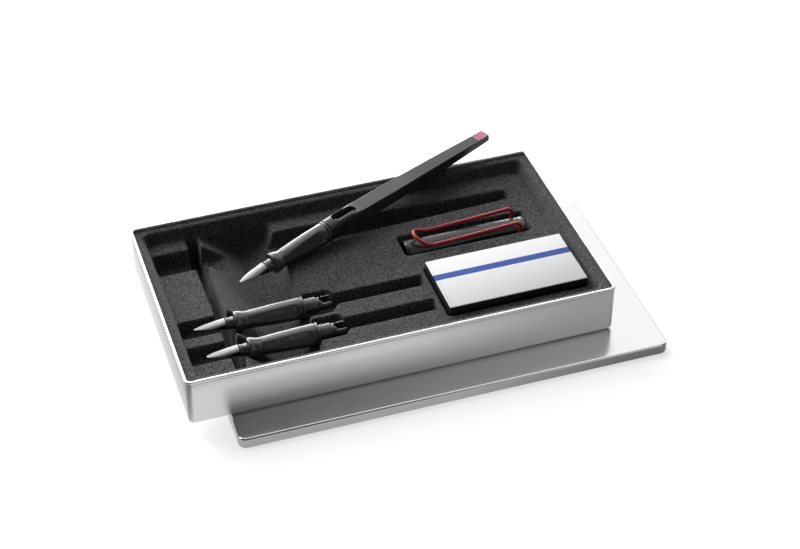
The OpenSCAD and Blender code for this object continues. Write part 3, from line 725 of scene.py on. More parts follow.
@dataclass(frozen=True)
class Brushed(Finish):
    """Metal with fine straight scratches.

    Attributes:
        stretch: How much the scratches are drawn out along X.
        shade: How much darker the deepest scratches are.
        painted_side_shade: Painted shade on the vertical faces: their colour as a share of the level faces'
            colour.
        around: Whether the scratches run round the vertical faces, and spread reflections up and down.
    """

    stretch: float = 0.012
    shade: float = 0.12
    painted_side_shade: float = 1.0
    around: bool = False

    def dress(self, paint: Paint) -> None:
        """Adds streaks and faint smudges."""
        tree = paint.tree
        value, height = paint.group(paint.effects.streaks, Scale=2200.0, Stretch=self.stretch)
        _, smudge = paint.marks(500.0, 0.0, 0.35)
        color = tree.mix(tree.ramp(value, 0.3, 0.7), shaded(self.color, 1 - self.shade), self.color)
        # Painted shade: the vertical faces get a darker colour, standing in for the darker reflection that
        # they show.
        if self.painted_side_shade < 1:
            level = tree.axis(tree.node("ShaderNodeNewGeometry").outputs["Normal"], "Z")
            color = tree.mix(tree.ramp(level, 0.15, 0.6), shaded(self.color, self.painted_side_shade), color)
        if self.around:
            tangent = tree.node("ShaderNodeTangent", direction_type="RADIAL", axis="Z").outputs[0]
            tree.link(tangent, paint.shader.inputs["Tangent"])
        paint.apply(color, self.varied(tree, value, 0.25, smudge, 0.08), height, 0.5, self.depth)


@dataclass(frozen=True)
class Flock(Finish):
    """Short fibres on a formed sheet, speckled from dark to light.

    Attributes:
        dark: Colour between the fibres.
        light: Colour of the fibres' ends.
        lint: Colour of the lint.
    """

    depth: float = 0.3
    dark: Point = (0.003, 0.003, 0.004)
    light: Point = (0.105, 0.107, 0.112)
    lint: Point = (0.16, 0.16, 0.165)

    def dress(self, paint: Paint) -> None:
        """Adds speckles, relief and a little lint."""
        tree = paint.tree
        value, height = paint.grain(1450.0, 0.7, 9.0)
        specks, _ = paint.marks(700.0, 0.012, 0.4)
        color = tree.mix(tree.times(specks, 0.35), tree.mix(value, self.dark, self.light), self.lint)
        paint.apply(color, self.roughness, height, 0.85, self.depth)


@dataclass(frozen=True)
class Moulded(Finish):
    """Moulded plastic with a fine satin texture."""

    depth: float = 0.012

    def dress(self, paint: Paint) -> None:
        """Adds grain, faint smudges and a few specks of dust."""
        tree = paint.tree
        value, height = paint.grain(3500.0, 0.2, 1.4)
        specks, smudge = paint.marks(800.0, 0.012, 0.6)
        color = tree.mix(value, shaded(self.color, 0.8), shaded(self.color, 1.2))
        color = tree.mix(tree.times(specks, 0.5), color, shaded(self.color, 1.5, 0.01))
        paint.apply(color, self.varied(tree, value, 0.1, smudge, 0.1), height, 0.5, self.depth)


@dataclass(frozen=True)
class Card(Finish):
    """Coated card with a plain printed band.

    Attributes:
        band: Colour of the band.
        band_y: The band's two edges along Y, in metres. There is no band where they are equal.
        glow: Painted light: how much light the card gives off, though it is no lamp, so that it looks
            brighter.
    """

    spread: float = 0.06
    band: Point = (0.085, 0.135, 0.43)
    band_y: tuple[float, float] = (0.0, 0.0)
    glow: float = 0.0

    def dress(self, paint: Paint) -> None:
        """Adds the card's fibre grain, rubbed tone, the band and its painted glow."""
        tree = paint.tree
        value, height = paint.grain(1800.0, 0.1, 1.2)
        _, smudge = paint.marks(400.0, 0.004, 0.5)
        color = tree.mix(value, shaded(self.color, 0.93), self.color)
        low, high = self.band_y
        if high > low:
            y = tree.axis(paint.coords, "Y")
            inside = tree.times(tree.math("GREATER_THAN", y, low), tree.math("LESS_THAN", y, high))
            color = tree.mix(inside, color, tree.mix(value, shaded(self.band, 0.9), self.band))
        # Painted light: the card gives off its own colour as light.
        if self.glow > 0:
            tree.feed(paint.shader, {"Emission Color": color, "Emission Strength": self.glow})
        paint.apply(color, self.varied(tree, value, 0.2, smudge, 0.08), height, 0.35, self.depth)


class Palette:
    """The set's materials, built from its finishes."""

    def __init__(self) -> None:
        """Builds the shared groups and one material for each finish."""
        effects = Effects()
        metal = {"Metallic": 1.0}
        tray = {**metal, "Anisotropic": 0.65, "Anisotropic Rotation": 0.25}
        flock = {"Sheen Weight": 0.22, "Sheen Roughness": 0.5}
        grip = {"Specular IOR Level": 0.9, "Coat Weight": 0.5, "Coat Roughness": 0.16}
        barrel, cap, card = ({"Specular IOR Level": level} for level in (0.7, 0.8, 0.05))
        ink = {"Coat Weight": 0.4, "Coat Roughness": 0.1}
        clip = {"Coat Weight": 0.3, "Coat Roughness": 0.15}
        middle = Carton().place.origin[1]
        band_y = ((middle + 3.0) * MM, (middle + 7.6) * MM)
        finishes = [
            Brushed("brushed_tray", Slot.TRAY, (0.82, 0.823, 0.83), 0.4, tray, 0.004, 0.05,
                    shade=0.05, around=True),
            # The lid's vertical faces get painted shade at half its colour.
            Brushed("satin_lid", Slot.LID, (0.80, 0.803, 0.81), 0.2, metal, 0.002, 0.03,
                    shade=0.03, painted_side_shade=0.5),
            Brushed("satin_nib", Slot.NIB, (0.215, 0.215, 0.217), 0.36, metal, 0.006, stretch=0.05),
            Flock("felt_liner", Slot.LINER, (0.02, 0.02, 0.022), 0.95, {"Sheen Weight": 0.3}),
            Flock("flocked_sheet", Slot.FLOCK, (0.03, 0.03, 0.032), 0.92, flock),
            Moulded("satin_grip", Slot.GRIP, (0.022, 0.022, 0.024), 0.28, grip, 0.006, 0.04),
            Moulded("satin_barrel", Slot.BARREL, (0.022, 0.022, 0.024), 0.24, barrel, 0.003, 0.03),
            Moulded("satin_cap", Slot.CAP, (0.024, 0.024, 0.026), 0.22, cap, 0.003, 0.03),
            Moulded("faded_red_inlay", Slot.INLAY, (0.55, 0.15, 0.175), 0.4),
            Moulded("black_feed", Slot.FEED, (0.008, 0.008, 0.009), 0.35),
            Moulded("blue_ink_plastic", Slot.INK, (0.08, 0.085, 0.12), 0.3, ink),
            Moulded("red_clip_enamel", Slot.CLIP, (0.44, 0.010, 0.022), 0.3, clip),
            Card("dark_card", Slot.CARTON_DARK, (0.012, 0.012, 0.016), 0.45),
            # The white card has painted light: it glows at 0.12.
            Card("white_card", Slot.CARTON_WHITE, (0.91, 0.912, 0.92), 0.8, card, band_y=band_y, glow=0.12),
        ]
        self.materials = {f.slot: f.build(effects) for f in finishes}

    def __getitem__(self, slot: Slot) -> bpy.types.Material:
        """Returns the material of a slot."""
        return self.materials[slot]


@dataclass
class Dresser:
    """Finishes pieces: material, body, slot and the solids that they stand for.

    Attributes:
        palette: The set's materials.
    """

    palette: Palette

    def finish(self, piece: Piece, angle: float, slot: Slot, body: str, *nodes: str) -> None:
        """Gives a piece its shading and its material, hangs it on its body, hides the nodes that it replaces
        and logs its box.

        Args:
            piece: The finished mesh.
            angle: Edges sharper than this stay sharp, in degrees.
            slot: Its material slot.
            body: The body that it rides on.
            nodes: The CAD nodes that it replaces.
        """
        piece.data.shade_smooth()
        piece.data.set_sharp_from_angle(angle=math.radians(angle))
        piece.data.materials.clear()
        piece.data.materials.append(self.palette[slot])
        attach(piece, body)
        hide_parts(*nodes)
        co = coordinates(piece)
        low = np.min([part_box(n)[0] for n in nodes], axis=0)
        high = np.max([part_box(n)[1] for n in nodes], axis=0)
        off = " ".join(f"{v:+.2f}" for v in np.concatenate([co.min(0) - low, co.max(0) - high]) / MM)
        LOG.info("%s: %d faces, box off by %s mm", piece.name, len(piece.data.polygons), off)

    def add(self, name: str, shell: Shell, place: Place, *rest: object) -> None:
        """Makes a piece from a shell in a place and finishes it with the rest, as finish takes it."""
        self.finish(new_object(name, shell, place), *rest)


# The tin


@dataclass
class Tin:
    """The tray with its folded rim, and the lid with its folded edge and its liner."""

    tray_l: float = 230.0
    tray_w: float = 131.0
    tray_h: float = 28.5
    sheet: float = 0.6
    corner_r: float = 3.4
    edge_r: float = 2.6
    rim_h: float = 1.5
    rim_t: float = 1.5
    rim_out: float = 0.25
    lid_l: float = 232.0
    lid_w: float = 133.0
    lid_h: float = 6.0
    lid_corner_r: float = 4.4
    lid_edge_r: float = 1.2
    hem_t: float = 0.8
    hem_h: float = 1.4
    lid_turn: float = -0.4
    lid_x: float = 22.4
    lid_front: float = 18.0
    liner_gap: float = 5.0
    liner_t: float = 2.8

    def lid_place(self) -> Place:
        """Returns the lid's own frame, with its folded edge on the table."""
        ox, oy, _ = TRAY_ORIGIN
        return Place((self.lid_x + ox, -self.lid_front + oy, 0.0), self.lid_turn)

    def tray_section(self) -> Path:
        """Returns the tray's section, from the middle of its underside to the middle of its floor."""
        out, t, h, edge, inner = self.rim_out, self.sheet, self.tray_h, self.edge_r, self.rim_t
        low, roll, lip, middle, near = h - self.rim_h, 0.62, 0.45, 30.0, 12.0
        path = [(middle, 0.0), (near, 0.0), *arc(out + edge, edge, edge, 270, 180, 8)]
        path += [(out, 10.0), (out, 18.0), (out, low - 0.6), (out + 0.05, low - 0.52),
                 (out + 0.25, low - 0.48), (out + 0.25, low - 0.12), (0.1, low - 0.08), (0.0, low + 0.1)]
        path += arc(roll, h - roll, roll, 180, 90, 7) + arc(inner - lip, h - lip, lip, 90, 0, 5)
        path += [(inner, low + 0.1), (inner - 0.1, low), (out + t, low), (out + t, 12.0)]
        return path + arc(out + edge, edge, edge - t, 180, 270, 6) + [(near, t), (middle, t)]

    def lid_section(self) -> Path:
        """Returns the lid's section, from the middle of its inside to the middle of its top."""
        t, h, edge, hem, high, middle = self.sheet, self.lid_h, self.lid_edge_r, self.hem_t, self.hem_h, 50.0
        path = [(middle, h), (20.0, h), (6.0, h), *arc(edge, h - edge, edge, 90, 180, 8)]
        path += [(0.0, 3.0), (0.0, 0.35), (0.1, 0.1), (0.35, 0.0), (hem - 0.3, 0.0), (hem - 0.08, 0.1),
                 (hem, 0.3), (hem, high), (t, high + 0.05), (t, 3.0)]
        path += arc(edge, h - edge, edge - t, 180, 90, 4) + [(8.0, h - t), (middle, h - t)]
        return path[::-1]

    def build(self, dresser: Dresser) -> None:
        """Builds and dresses the tray, the lid and the felt liner under the lid's top.

        Args:
            dresser: What finishes the pieces.
        """
        tray = swept_rect(self.tray_section(), self.tray_l, self.tray_w, self.corner_r, 16)
        dresser.add("tray_sheet", tray, in_tray(0, 0, 0), 40, Slot.TRAY, "tray", "tray_shell")
        lid = swept_rect(self.lid_section(), self.lid_l, self.lid_w, self.lid_corner_r, 16)
        dresser.add("lid_sheet", lid, self.lid_place(), 40, Slot.LID, "lid", "lid_shell")
        inset, top, soft, middle = self.hem_t + self.liner_gap, self.lid_h - self.sheet, 0.7, 30.0
        low = top - self.liner_t
        path = [(middle, low), *arc(inset + soft, low + soft, soft, 270, 180, 5), (inset, top), (middle, top)]
        liner = swept_rect(path, self.lid_l, self.lid_w, self.lid_corner_r + inset, 10)
        dresser.add("lid_liner_felt", liner, self.lid_place(), 50, Slot.LINER, "lid", "lid_liner")


# The insert


@dataclass
class Insert:
    """The flocked insert as one soft surface of heights over the tray's plan.

    The heights are laid out sharp on a fine grid, then a ball is rolled over and under them, which
    rounds every edge as flock and forming do. The mesh has fine lines only near the walls.

    Attributes:
        channel: The pen's channel: its start, where it starts to narrow, its end, its width and its
            width at the end.
        trough: The cross trough's two sides.
        spare: A spare's channel: where it narrows from and to, its end, its width and its width
            at the end.
        cap_well: The cap's well as (x0, x1, y0, y1, floor).
        carton_well: The carton's well in the same way.
        cell: Size of the grid's cells.
        edge_ball: Radius of the ball that rounds the edges.
        foot_ball: Radius of the ball that rounds the hollows.
    """

    length: float = 227.7
    width: float = 128.7
    corner_r: float = 2.55
    flange_z: float = 26.7
    deck_z: float = 19.9
    deck_l: float = 214.9
    deck_w: float = 115.9
    deck_r: float = 2.5
    draft: float = 2.0
    skirt_z: float = 0.75
    channel: Well = (-106.8, -20.0, 94.2, 15.8, 7.2)
    channel_y: float = 40.0
    channel_z: float = 9.5
    trough: tuple[float, float] = (-86.5, -80.3)
    trough_hw: float = 56.95
    trough_z: float = 1.8
    scoop_x1: float = -40.2
    scoop_run: float = 21.6
    scoop_depth: float = 17.5
    nib_well_x0: float = -106.5
    nib_well_w: float = 12.6
    nib_well_z: float = 12.0
    spare_ys: tuple[float, float] = (-16.5, -37.4)
    spare: Well = (-27.0, -23.0, 25.0, 16.0, 8.0)
    spare_z: float = 10.7
    cap_well: Well = (23.5, 95.3, 5.9, 22.2, 7.5)
    carton_well: Well = (28.2, 106.4, -49.05, -8.05, 15.0)
    cell: float = 0.3
    edge_ball: float = 0.9
    foot_ball: float = 0.6

    def heights(self) -> tuple[Array, Array, Array]:
        """Lays out the heights.

        Returns:
            The grid's X values, its Y values and the heights, one row for each Y.
        """
        xs = np.arange(-self.length / 2 - 3, self.length / 2 + 3 + self.cell, self.cell)
        ys = np.arange(-self.width / 2 - 3, self.width / 2 + 3 + self.cell, self.cell)
        x, y = np.meshgrid(xs, ys)
        outside = self._rect_distance(x, y, self.deck_l, self.deck_w, self.deck_r)
        z = self.deck_z + np.clip(outside / self.draft, 0, 1) * (self.flange_z - self.deck_z)
        z = self._lowered(z, y, self._channel_edges(x), self.channel_y, self.channel_z)
        z = self._boxed(z, x, y, (*self.trough, -self.trough_hw, self.trough_hw, self.trough_z))
        z = np.where(np.abs(y) <= self.trough_hw, np.minimum(z, self._scoop(x)), z)
        middle = sum(self.trough) / 2
        for mid_y in self.spare_ys:
            z = self._lowered(z, y, self._spare_edges(x, middle), mid_y, self.spare_z)
            sides = around(mid_y, self.nib_well_w / 2)
            z = self._boxed(z, x, y, (self.nib_well_x0, middle, *sides, self.nib_well_z))
        z = self._boxed(z, x, y, self.cap_well)
        z = self._boxed(z, x, y, self.carton_well)
        z = self._rolled(z, self.foot_ball, False)
        z = self._rolled(z, self.edge_ball, True)
        return xs, ys, self._blurred(z)

    @staticmethod
    def _rect_distance(x: Array, y: Array, length: float, width: float, radius: float) -> Array:
        """Returns the distance outside a rounded rectangle about the origin, negative inside."""
        dx = np.abs(x) - length / 2 + radius
        dy = np.abs(y) - width / 2 + radius
        return np.hypot(np.maximum(dx, 0), np.maximum(dy, 0)) + np.minimum(np.maximum(dx, dy), 0) - radius

    def _channel_edges(self, x: Array) -> Array:
        """Returns the pen channel's half width at x, negative where there is none."""
        x0, x1, x2, wide, tail = self.channel
        half = np.where(x < x1, wide / 2, wide / 2 + (tail - wide) / 2 * (x - x1) / (x2 - x1))
        return np.where((x >= x0) & (x <= x2), half, -1.0)

    def _spare_edges(self, x: Array, x0: float) -> Array:
        """Returns a spare channel's half width at x, negative where there is none."""
        x1, x2, x3, wide, tail = self.spare
        half = wide / 2 + (tail - wide) / 2 * ease((x - x1) / (x2 - x1))
        return np.where((x >= x0) & (x <= x3), half, -1.0)

    @staticmethod
    def _lowered(z: Array, y: Array, half: Array, mid_y: float, floor: float) -> Array:
        """Returns the heights with a channel of that half width cut along X."""
        return np.where(np.abs(y - mid_y) <= half, np.minimum(z, floor), z)

    @staticmethod
    def _boxed(z: Array, x: Array, y: Array, box: Well) -> Array:
        """Returns the heights with a box (x0, x1, y0, y1, floor) cut in."""
        x0, x1, y0, y1, floor = box
        inside = (x >= x0) & (x <= x1) & (y >= y0) & (y <= y1)
        return np.where(inside, np.minimum(z, floor), z)

    def _scoop(self, x: Array) -> Array:
        """Returns the finger scoop's height at x: a straight slope, then a hollow curve."""
        cx, depth, top = self.scoop_x1 - self.scoop_depth, self.scoop_depth, self.flange_z + 1
        slope = self.deck_z - depth * (x - cx + self.scoop_run) / self.scoop_run
        curve = self.deck_z - np.sqrt(np.maximum(depth * depth - (x - cx) ** 2, 0))
        z = np.where(x < cx, slope, curve)
        return np.where((x >= cx - self.scoop_run) & (x <= self.scoop_x1), z, top)

    def _rolled(self, z: Array, radius: float, over: bool) -> Array:
        """Rolls a ball against the heights.

        Args:
            z: The heights.
            radius: The ball's radius.
            over: Whether edges that stand out are rounded, or else hollow ones.

        Returns:
            The rounded heights.
        """
        reach = int(math.ceil(radius / self.cell))
        offsets = []
        for i in range(-reach, reach + 1):
            for j in range(-reach, reach + 1):
                square = radius ** 2 - (i * self.cell) ** 2 - (j * self.cell) ** 2
                if square >= 0:
                    offsets.append((i, j, math.sqrt(square) - radius))
        low = self._swept(z, offsets, reach, over)
        return self._swept(low, offsets, reach, not over)

    @staticmethod
    def _swept(z: Array, offsets: Sequence[Point], reach: int, lower: bool) -> Array:
        """Returns the lowest or highest position of a ball's surface over each cell."""
        padded = np.pad(z, reach, mode="edge")
        rows, cols = z.shape
        out = None
        for i, j, b in offsets:
            part = padded[reach + i:reach + i + rows, reach + j:reach + j + cols] + (-b if lower else b)
            if out is None:
                out = part.copy()
            elif lower:
                np.minimum(out, part, out=out)
            else:
                np.maximum(out, part, out=out)
        return out

    @staticmethod
    def _blurred(z: Array) -> Array:
        """Returns the heights averaged over the neighbouring cells."""
        for axis in (0, 1):
            padded = np.pad(z, [(1, 1) if a == axis else (0, 0) for a in (0, 1)], mode="edge")
            low = np.take(padded, range(0, z.shape[axis]), axis)
            high = np.take(padded, range(2, z.shape[axis] + 2), axis)
            z = 0.25 * low + 0.5 * z + 0.25 * high
        return z

    @staticmethod
    def _lines(half: float, walls: Sequence[float], spans: Sequence[Point]) -> Array:
        """Spaces the mesh's lines, close together near the walls.

        Args:
            half: Half the size along this axis.
            walls: Where the walls are.
            spans: Stretches with their own spacing, as (from, to, spacing).

        Returns:
            The lines' places.
        """
        fine, middling, coarse, reach = 0.36, 0.55, 1.7, 2.0
        lines = [-half]
        while lines[-1] < half - 0.2:
            at = lines[-1]
            near = min(abs(at - w) for w in walls)
            step = fine if near < reach / 2 else middling if near < reach else coarse
            step = min([step, *(spacing for low, high, spacing in spans if low <= at <= high)])
            ahead = min((w - reach - at for w in walls if w - reach > at), default=step)
            lines.append(at + (max(ahead, fine) if ahead < step else step))
        lines[-1] = half
        return np.array(lines)

    def shell(self) -> Shell:
        """Returns the insert as a closed shell in the tray's frame."""
        scoop_x0 = self.scoop_x1 - self.scoop_depth - self.scoop_run
        x_walls = [*around(0, self.length / 2, self.deck_l / 2 + 1), self.channel[0], self.channel[2],
                   *self.trough, self.scoop_x1, scoop_x0, self.nib_well_x0, self.spare[2],
                   *self.cap_well[:2], *self.carton_well[:2]]
        y_walls = [*around(0, self.width / 2, self.deck_w / 2 + 1, self.trough_hw), *self.cap_well[2:4],
                   *self.carton_well[2:4], *around(self.channel_y, self.channel[3] / 2, self.channel[4] / 2)]
        for y in self.spare_ys:
            y_walls += around(y, self.spare[3] / 2, self.spare[4] / 2, self.nib_well_w / 2)
        x_spans = [(self.spare[0] - 1, self.spare[1] + 1, 0.5), (self.trough[0], self.scoop_x1, 0.9)]
        y_spans = [(self.channel_y + a, self.channel_y + b, 0.42) for a, b in ((-8.5, -3), (3, 8.5))]
        lx = self._lines(self.length / 2, x_walls, x_spans)
        ly = self._lines(self.width / 2, y_walls, y_spans)
        x, y = self._cornered(*np.meshgrid(lx, ly))
        z = np.minimum(self._sampled(lx, ly), self._border(x, y))
        points = np.stack([x, y, z], 2).reshape(-1, 3)
        rows, cols = len(ly), len(lx)
        index = np.arange(rows * cols).reshape(rows, cols)
        quads = np.stack([index[:-1, :-1], index[:-1, 1:], index[1:, 1:], index[1:, :-1]], 2).reshape(-1, 4)
        faces = [tuple(q) for q in quads.tolist()]
        edge = np.concatenate([index[0, :], index[1:, -1], index[-1, -2::-1], index[-2:0:-1, 0]])
        base = len(points)
        skirt = points[edge].copy()
        skirt[:, 2] = self.skirt_z
        n = len(edge)
        for k in range(n):
            j = (k + 1) % n
            faces.append((base + k, base + j, int(edge[j]), int(edge[k])))
        faces.append(tuple(base + k for k in range(n - 1, -1, -1)))
        LOG.info("insert grid %d x %d", rows, cols)
        return Shell(np.vstack([points, skirt]), faces)

    def _sampled(self, lx: Array, ly: Array) -> Array:
        """Returns the heights at the mesh's lines."""
        xs, ys, heights = self.heights()
        rows = np.array([np.interp(lx, xs, row) for row in heights])
        return np.array([np.interp(ly, ys, col) for col in rows.T]).T

    def _cornered(self, x: Array, y: Array) -> tuple[Array, Array]:
        """Pulls the outline's corners in to their radius."""
        r = self.corner_r
        hx, hy = self.length / 2 - r, self.width / 2 - r
        dx, dy = np.abs(x) - hx, np.abs(y) - hy
        both = (dx > 0) & (dy > 0)
        far = np.maximum(dx, dy)
        norm = np.where(both, np.hypot(dx, dy), 1.0)
        scale = np.where(both, far / np.maximum(norm, 1e-9), 1.0)
        nx = np.where(both, np.sign(x) * (hx + dx * scale), x)
        ny = np.where(both, np.sign(y) * (hy + dy * scale), y)
        return nx, ny

    def _border(self, x: Array, y: Array) -> Array:
        """Returns the height of the rounded outer edge."""
        r = 0.8
        inside = -self._rect_distance(x, y, self.length, self.width, self.corner_r)
        gap = np.clip(r - inside, 0, r)
        return self.flange_z - r + np.sqrt(r * r - gap * gap)

    def build(self, dresser: Dresser) -> None:
        """Builds and dresses the insert.

        Args:
            dresser: What finishes the pieces.
        """
        dresser.add("flocked_insert", self.shell(), in_tray(0, 0, 0), 75, Slot.FLOCK, "tray", "insert")


# Grips, nibs and feeds


@dataclass
class NibUnit:
    """A grip with its nib and feed, along X from the nib's tip.

    Attributes:
        name: Start of the pieces' names, which is also the start of the nodes' names.
        body: The body that they ride on.
        place: Their frame.
        tip_w: Width of the nib's tip.
    """

    name: str
    body: str
    place: Place
    tip_w: float
    lip_s: float = 21.0
    ring_s: float = 58.8
    lip_r: float = 5.9
    waist_r: float = 4.8
    ring_r: float = 6.2
    neck_l: float = 7.0
    neck_r: float = 4.5
    sleeve_l: float = 7.4
    sleeve_r: float = 3.8
    fork_gap: float = 5.2
    bore_r: float = 2.85
    collar_r: float = 3.3
    collar_l: float = 4.5
    facet_r: float = 4.75
    facet_turn: float = 62.0
    nib_w: float = 6.2
    nib_point: float = 9.0
    nib_t: float = 0.35
    tip_rise: float = 0.8
    curve_r: float = 5.4
    sides: int = 120

    @property
    def nib_base(self) -> float:
        """Where the nib leaves the collar."""
        return self.lip_s - self.collar_l

    @property
    def sleeve_s(self) -> float:
        """Where the forked sleeve starts."""
        return self.ring_s + self.neck_l

    def body_profile(self) -> Path:
        """Returns the grip's outline from its collar to the end of its neck."""
        lip, ring, end, base = self.lip_s, self.ring_s, self.sleeve_s, self.nib_base
        collar, neck, roll, bead = self.collar_r, self.neck_r, 1.2, 0.9
        waist_s, groove_s, shoulder_r = lip + 7.5, ring - 2.2, self.ring_r - 0.25
        path = [(base, 2.2), (base, 2.7), (base + 0.12, 3.0), (base + 0.4, collar), (base + 1.5, collar),
                (base + 1.6, collar - 0.25), (base + 2.0, collar - 0.25), (base + 2.1, collar),
                (lip - 0.9, collar), (lip - 0.75, collar + 0.1), (lip - 0.2, collar + 0.25),
                (lip, collar + 0.6)]
        path += arc(lip + roll, self.lip_r - roll, roll, 180, 90, 9)
        for t in np.linspace(0, 1, 19)[1:]:
            fall = (self.waist_r - self.lip_r) * (1 - math.cos(math.pi * t)) / 2
            path.append((lip + roll + (waist_s - lip - roll) * t, self.lip_r + fall))
        for t in np.linspace(0, 1, 49)[1:]:
            rise = (shoulder_r - self.waist_r) * math.sin(math.pi / 2 * t)
            path.append((waist_s + (groove_s - waist_s) * t, self.waist_r + rise))
        path += [(groove_s + 0.06, shoulder_r - 0.05), (groove_s + 0.1, shoulder_r - 0.3),
                 (groove_s + 0.2, shoulder_r - 0.36), (groove_s + 0.36, shoulder_r - 0.3)]
        path += arc(ring - bead, self.ring_r - bead, bead, 166, 14, 14)
        return path + [(ring, self.ring_r - 1.3), (ring, neck + 0.1), (ring + 0.1, neck - 0.15),
                       (end - 0.7, neck - 0.15), (end - 0.4, neck - 0.2), (end, neck - 0.55), (end, 2.0)]

    def grip_shell(self) -> Shell:
        """Returns the grip with its two leaf-shaped finger facets."""
        angles, rings = turns(self.sides), []
        for s, r in self.body_profile():
            if self.lip_s + 2 < s < self.ring_s - 2.2:
                cuts = [self._facet(s, r, angles, turn) for turn in around(0, math.radians(self.facet_turn))]
                r = np.minimum(*cuts)
            rings.append(ring_about(s, r, angles))
        return loft(rings)

    def _facet(self, s: float, r: float, angles: Array, turn: float) -> Array:
        """Returns the radius where one facet is cut, at a place along the grip."""
        delta = np.angle(np.exp(1j * (angles - turn)))
        front, back, half, soft, reach = self.lip_s + 5.0, self.ring_s - 4.2, 4.1, 0.9, 1.3
        plane = self.facet_r / np.maximum(np.cos(delta), 0.3)
        across = r * np.sin(delta)
        mid = min(max(s, front + half), back - half)
        outside = np.hypot(s - mid, across) - half
        share = np.where(np.abs(delta) > reach, 1.0, ease(outside / soft + 0.5))
        return np.where(plane < r, plane + (r - plane) * share, r)

    def nib_mapping(self, s: float, v: Array, drop: float) -> Array:
        """Maps a place on the nib's sheet to the unit's frame.

        Args:
            s: Distance along the unit.
            v: Distances to the left of its middle.
            drop: Depth below the sheet's top face.

        Returns:
            The points.
        """
        base = self.nib_base
        slope = math.atan((self.collar_r - self.nib_t - self.tip_rise) / base)
        x = (s - base) / math.cos(slope)
        z = np.sqrt(np.maximum(self.curve_r ** 2 - v ** 2, 0)) - self.curve_r - drop
        pz = self.collar_r - self.nib_t + x * math.sin(slope) + z * math.cos(slope)
        return np.stack([np.full(len(v), s), v, pz], 1)

    def nib_half_width(self, s: float) -> float:
        """Returns the nib's half width at s, from its square tip to its shoulders."""
        tip, full = self.tip_w / 2, self.nib_w / 2
        if s <= 0.4:
            return tip * (0.82 + 0.45 * s)
        t = min((s - 0.4) / (self.nib_point - 0.4), 1.0)
        width = tip + (full - tip) * (1 - (1 - t) ** 1.3)
        if s > self.nib_point:
            width -= 0.18 * ease((s - self.nib_point) / 6.0)
        return width

    def nib_shell(self) -> Shell:
        """Returns the nib's curved sheet with its slit."""
        stations = np.concatenate([[0.0, 0.12, 0.3, 0.6], np.linspace(1.0, self.nib_point, 20),
                                   np.linspace(self.nib_point + 0.6, self.nib_base - 0.1, 12)])
        across = np.concatenate([np.linspace(-1, -0.12, 9), [-0.03, 0.0, 0.03], np.linspace(0.12, 1, 9)])
        rings = []
        for s in stations:
            half = self.nib_half_width(s)
            v = across * half
            v[9], v[11] = -min(0.07, 0.1 * half), min(0.07, 0.1 * half)
            top = self.nib_mapping(s, v, 0.0)
            slit = 0.22 * ease((s - 0.2) / 0.5) * (1 - ease((s - 12.2) / 0.6))
            top[10, 2] -= slit
            top[[0, -1], 2] -= 0.08
            under = self.nib_mapping(s, v * 0.985, self.nib_t)
            rings.append(np.vstack([top, under[::-1]]))
        return loft(rings)

    def feed_shell(self) -> Shell:
        """Returns the finned feed under the nib."""
        rings = []
        front, chin, base = 6.5, 9.5, self.nib_base - 0.1
        nose = [front, front + 0.25, front + 0.8]
        stations = np.concatenate([nose, np.arange(front + 1.2, base, 0.3), [base]])
        for i, s in enumerate(stations):
            share = min((s - front) / (chin - front), 1.0)
            depth = 0.1 + 1.6 * ease(share) + 1.3 * ease((s - chin) / (base - chin))
            half = min(2.45, self.nib_half_width(s) - 0.35) * (0.72 if i == 0 else 0.95 if i == 1 else 1.0)
            fin = 0.16 if s > chin and i % 3 == 0 else 0.0
            v = np.linspace(-half + fin, half - fin, 13)
            top = self.nib_mapping(s, v, self.nib_t + 0.02)
            side, low = top[-1, 2], fin - depth
            t = np.linspace(0, math.pi, 15)[1:-1]
            under = [np.full(13, s), (half - fin) * np.cos(t), side + (low - side) * np.sin(t) ** 0.7]
            rings.append(np.vstack([top, np.stack(under, 1)]))
        return loft(rings)

    def build(self, dresser: Dresser) -> None:
        """Builds and dresses the grip, the nib and the feed.

        Args:
            dresser: What finishes the pieces.
        """
        start, half, name, at = self.sleeve_s, self.fork_gap / 2, self.name, self.place
        slot_s, far, tall = start + 1.2, start + 20, 9.0
        body = new_object(f"{name}_grip_body", self.grip_shell().joined(*self._ridges()), at)
        carved(body, at, revolved([(start - 4, self.bore_r), (start + 3, self.bore_r)]))
        pipe = tube(start - 0.3, start + self.sleeve_l, self.sleeve_r, self.bore_r)
        gap = loft([slot_ring(slot_s, far, half, z, 20) for z in (-tall, tall)])
        land = block(slot_s + 0.6 * half, far, -tall, tall, 2.2, tall)
        sleeve = soft_edges(carved(new_object("sleeve", pipe, at), at, gap, land), 0.14)
        grip = merged(f"{name}_grip_body", [body, sleeve])
        dresser.finish(grip, 38, Slot.GRIP, self.body, f"{name}_grip")
        dresser.add(f"{name}_nib_sheet", self.nib_shell(), at, 40, Slot.NIB, self.body, f"{name}_nib")
        dresser.add(f"{name}_feed_fins", self.feed_shell(), at, 40, Slot.FEED, self.body, f"{name}_feed")

    def _ridges(self) -> list[Shell]:
        """Returns the neck's thread ridges."""
        starts = [self.ring_s + 1.1 * i for i in range(1, 6)]
        return [tube(s, s + 0.5, self.neck_r, self.neck_r - 0.4, 0.12, self.sides) for s in starts]


# The pen


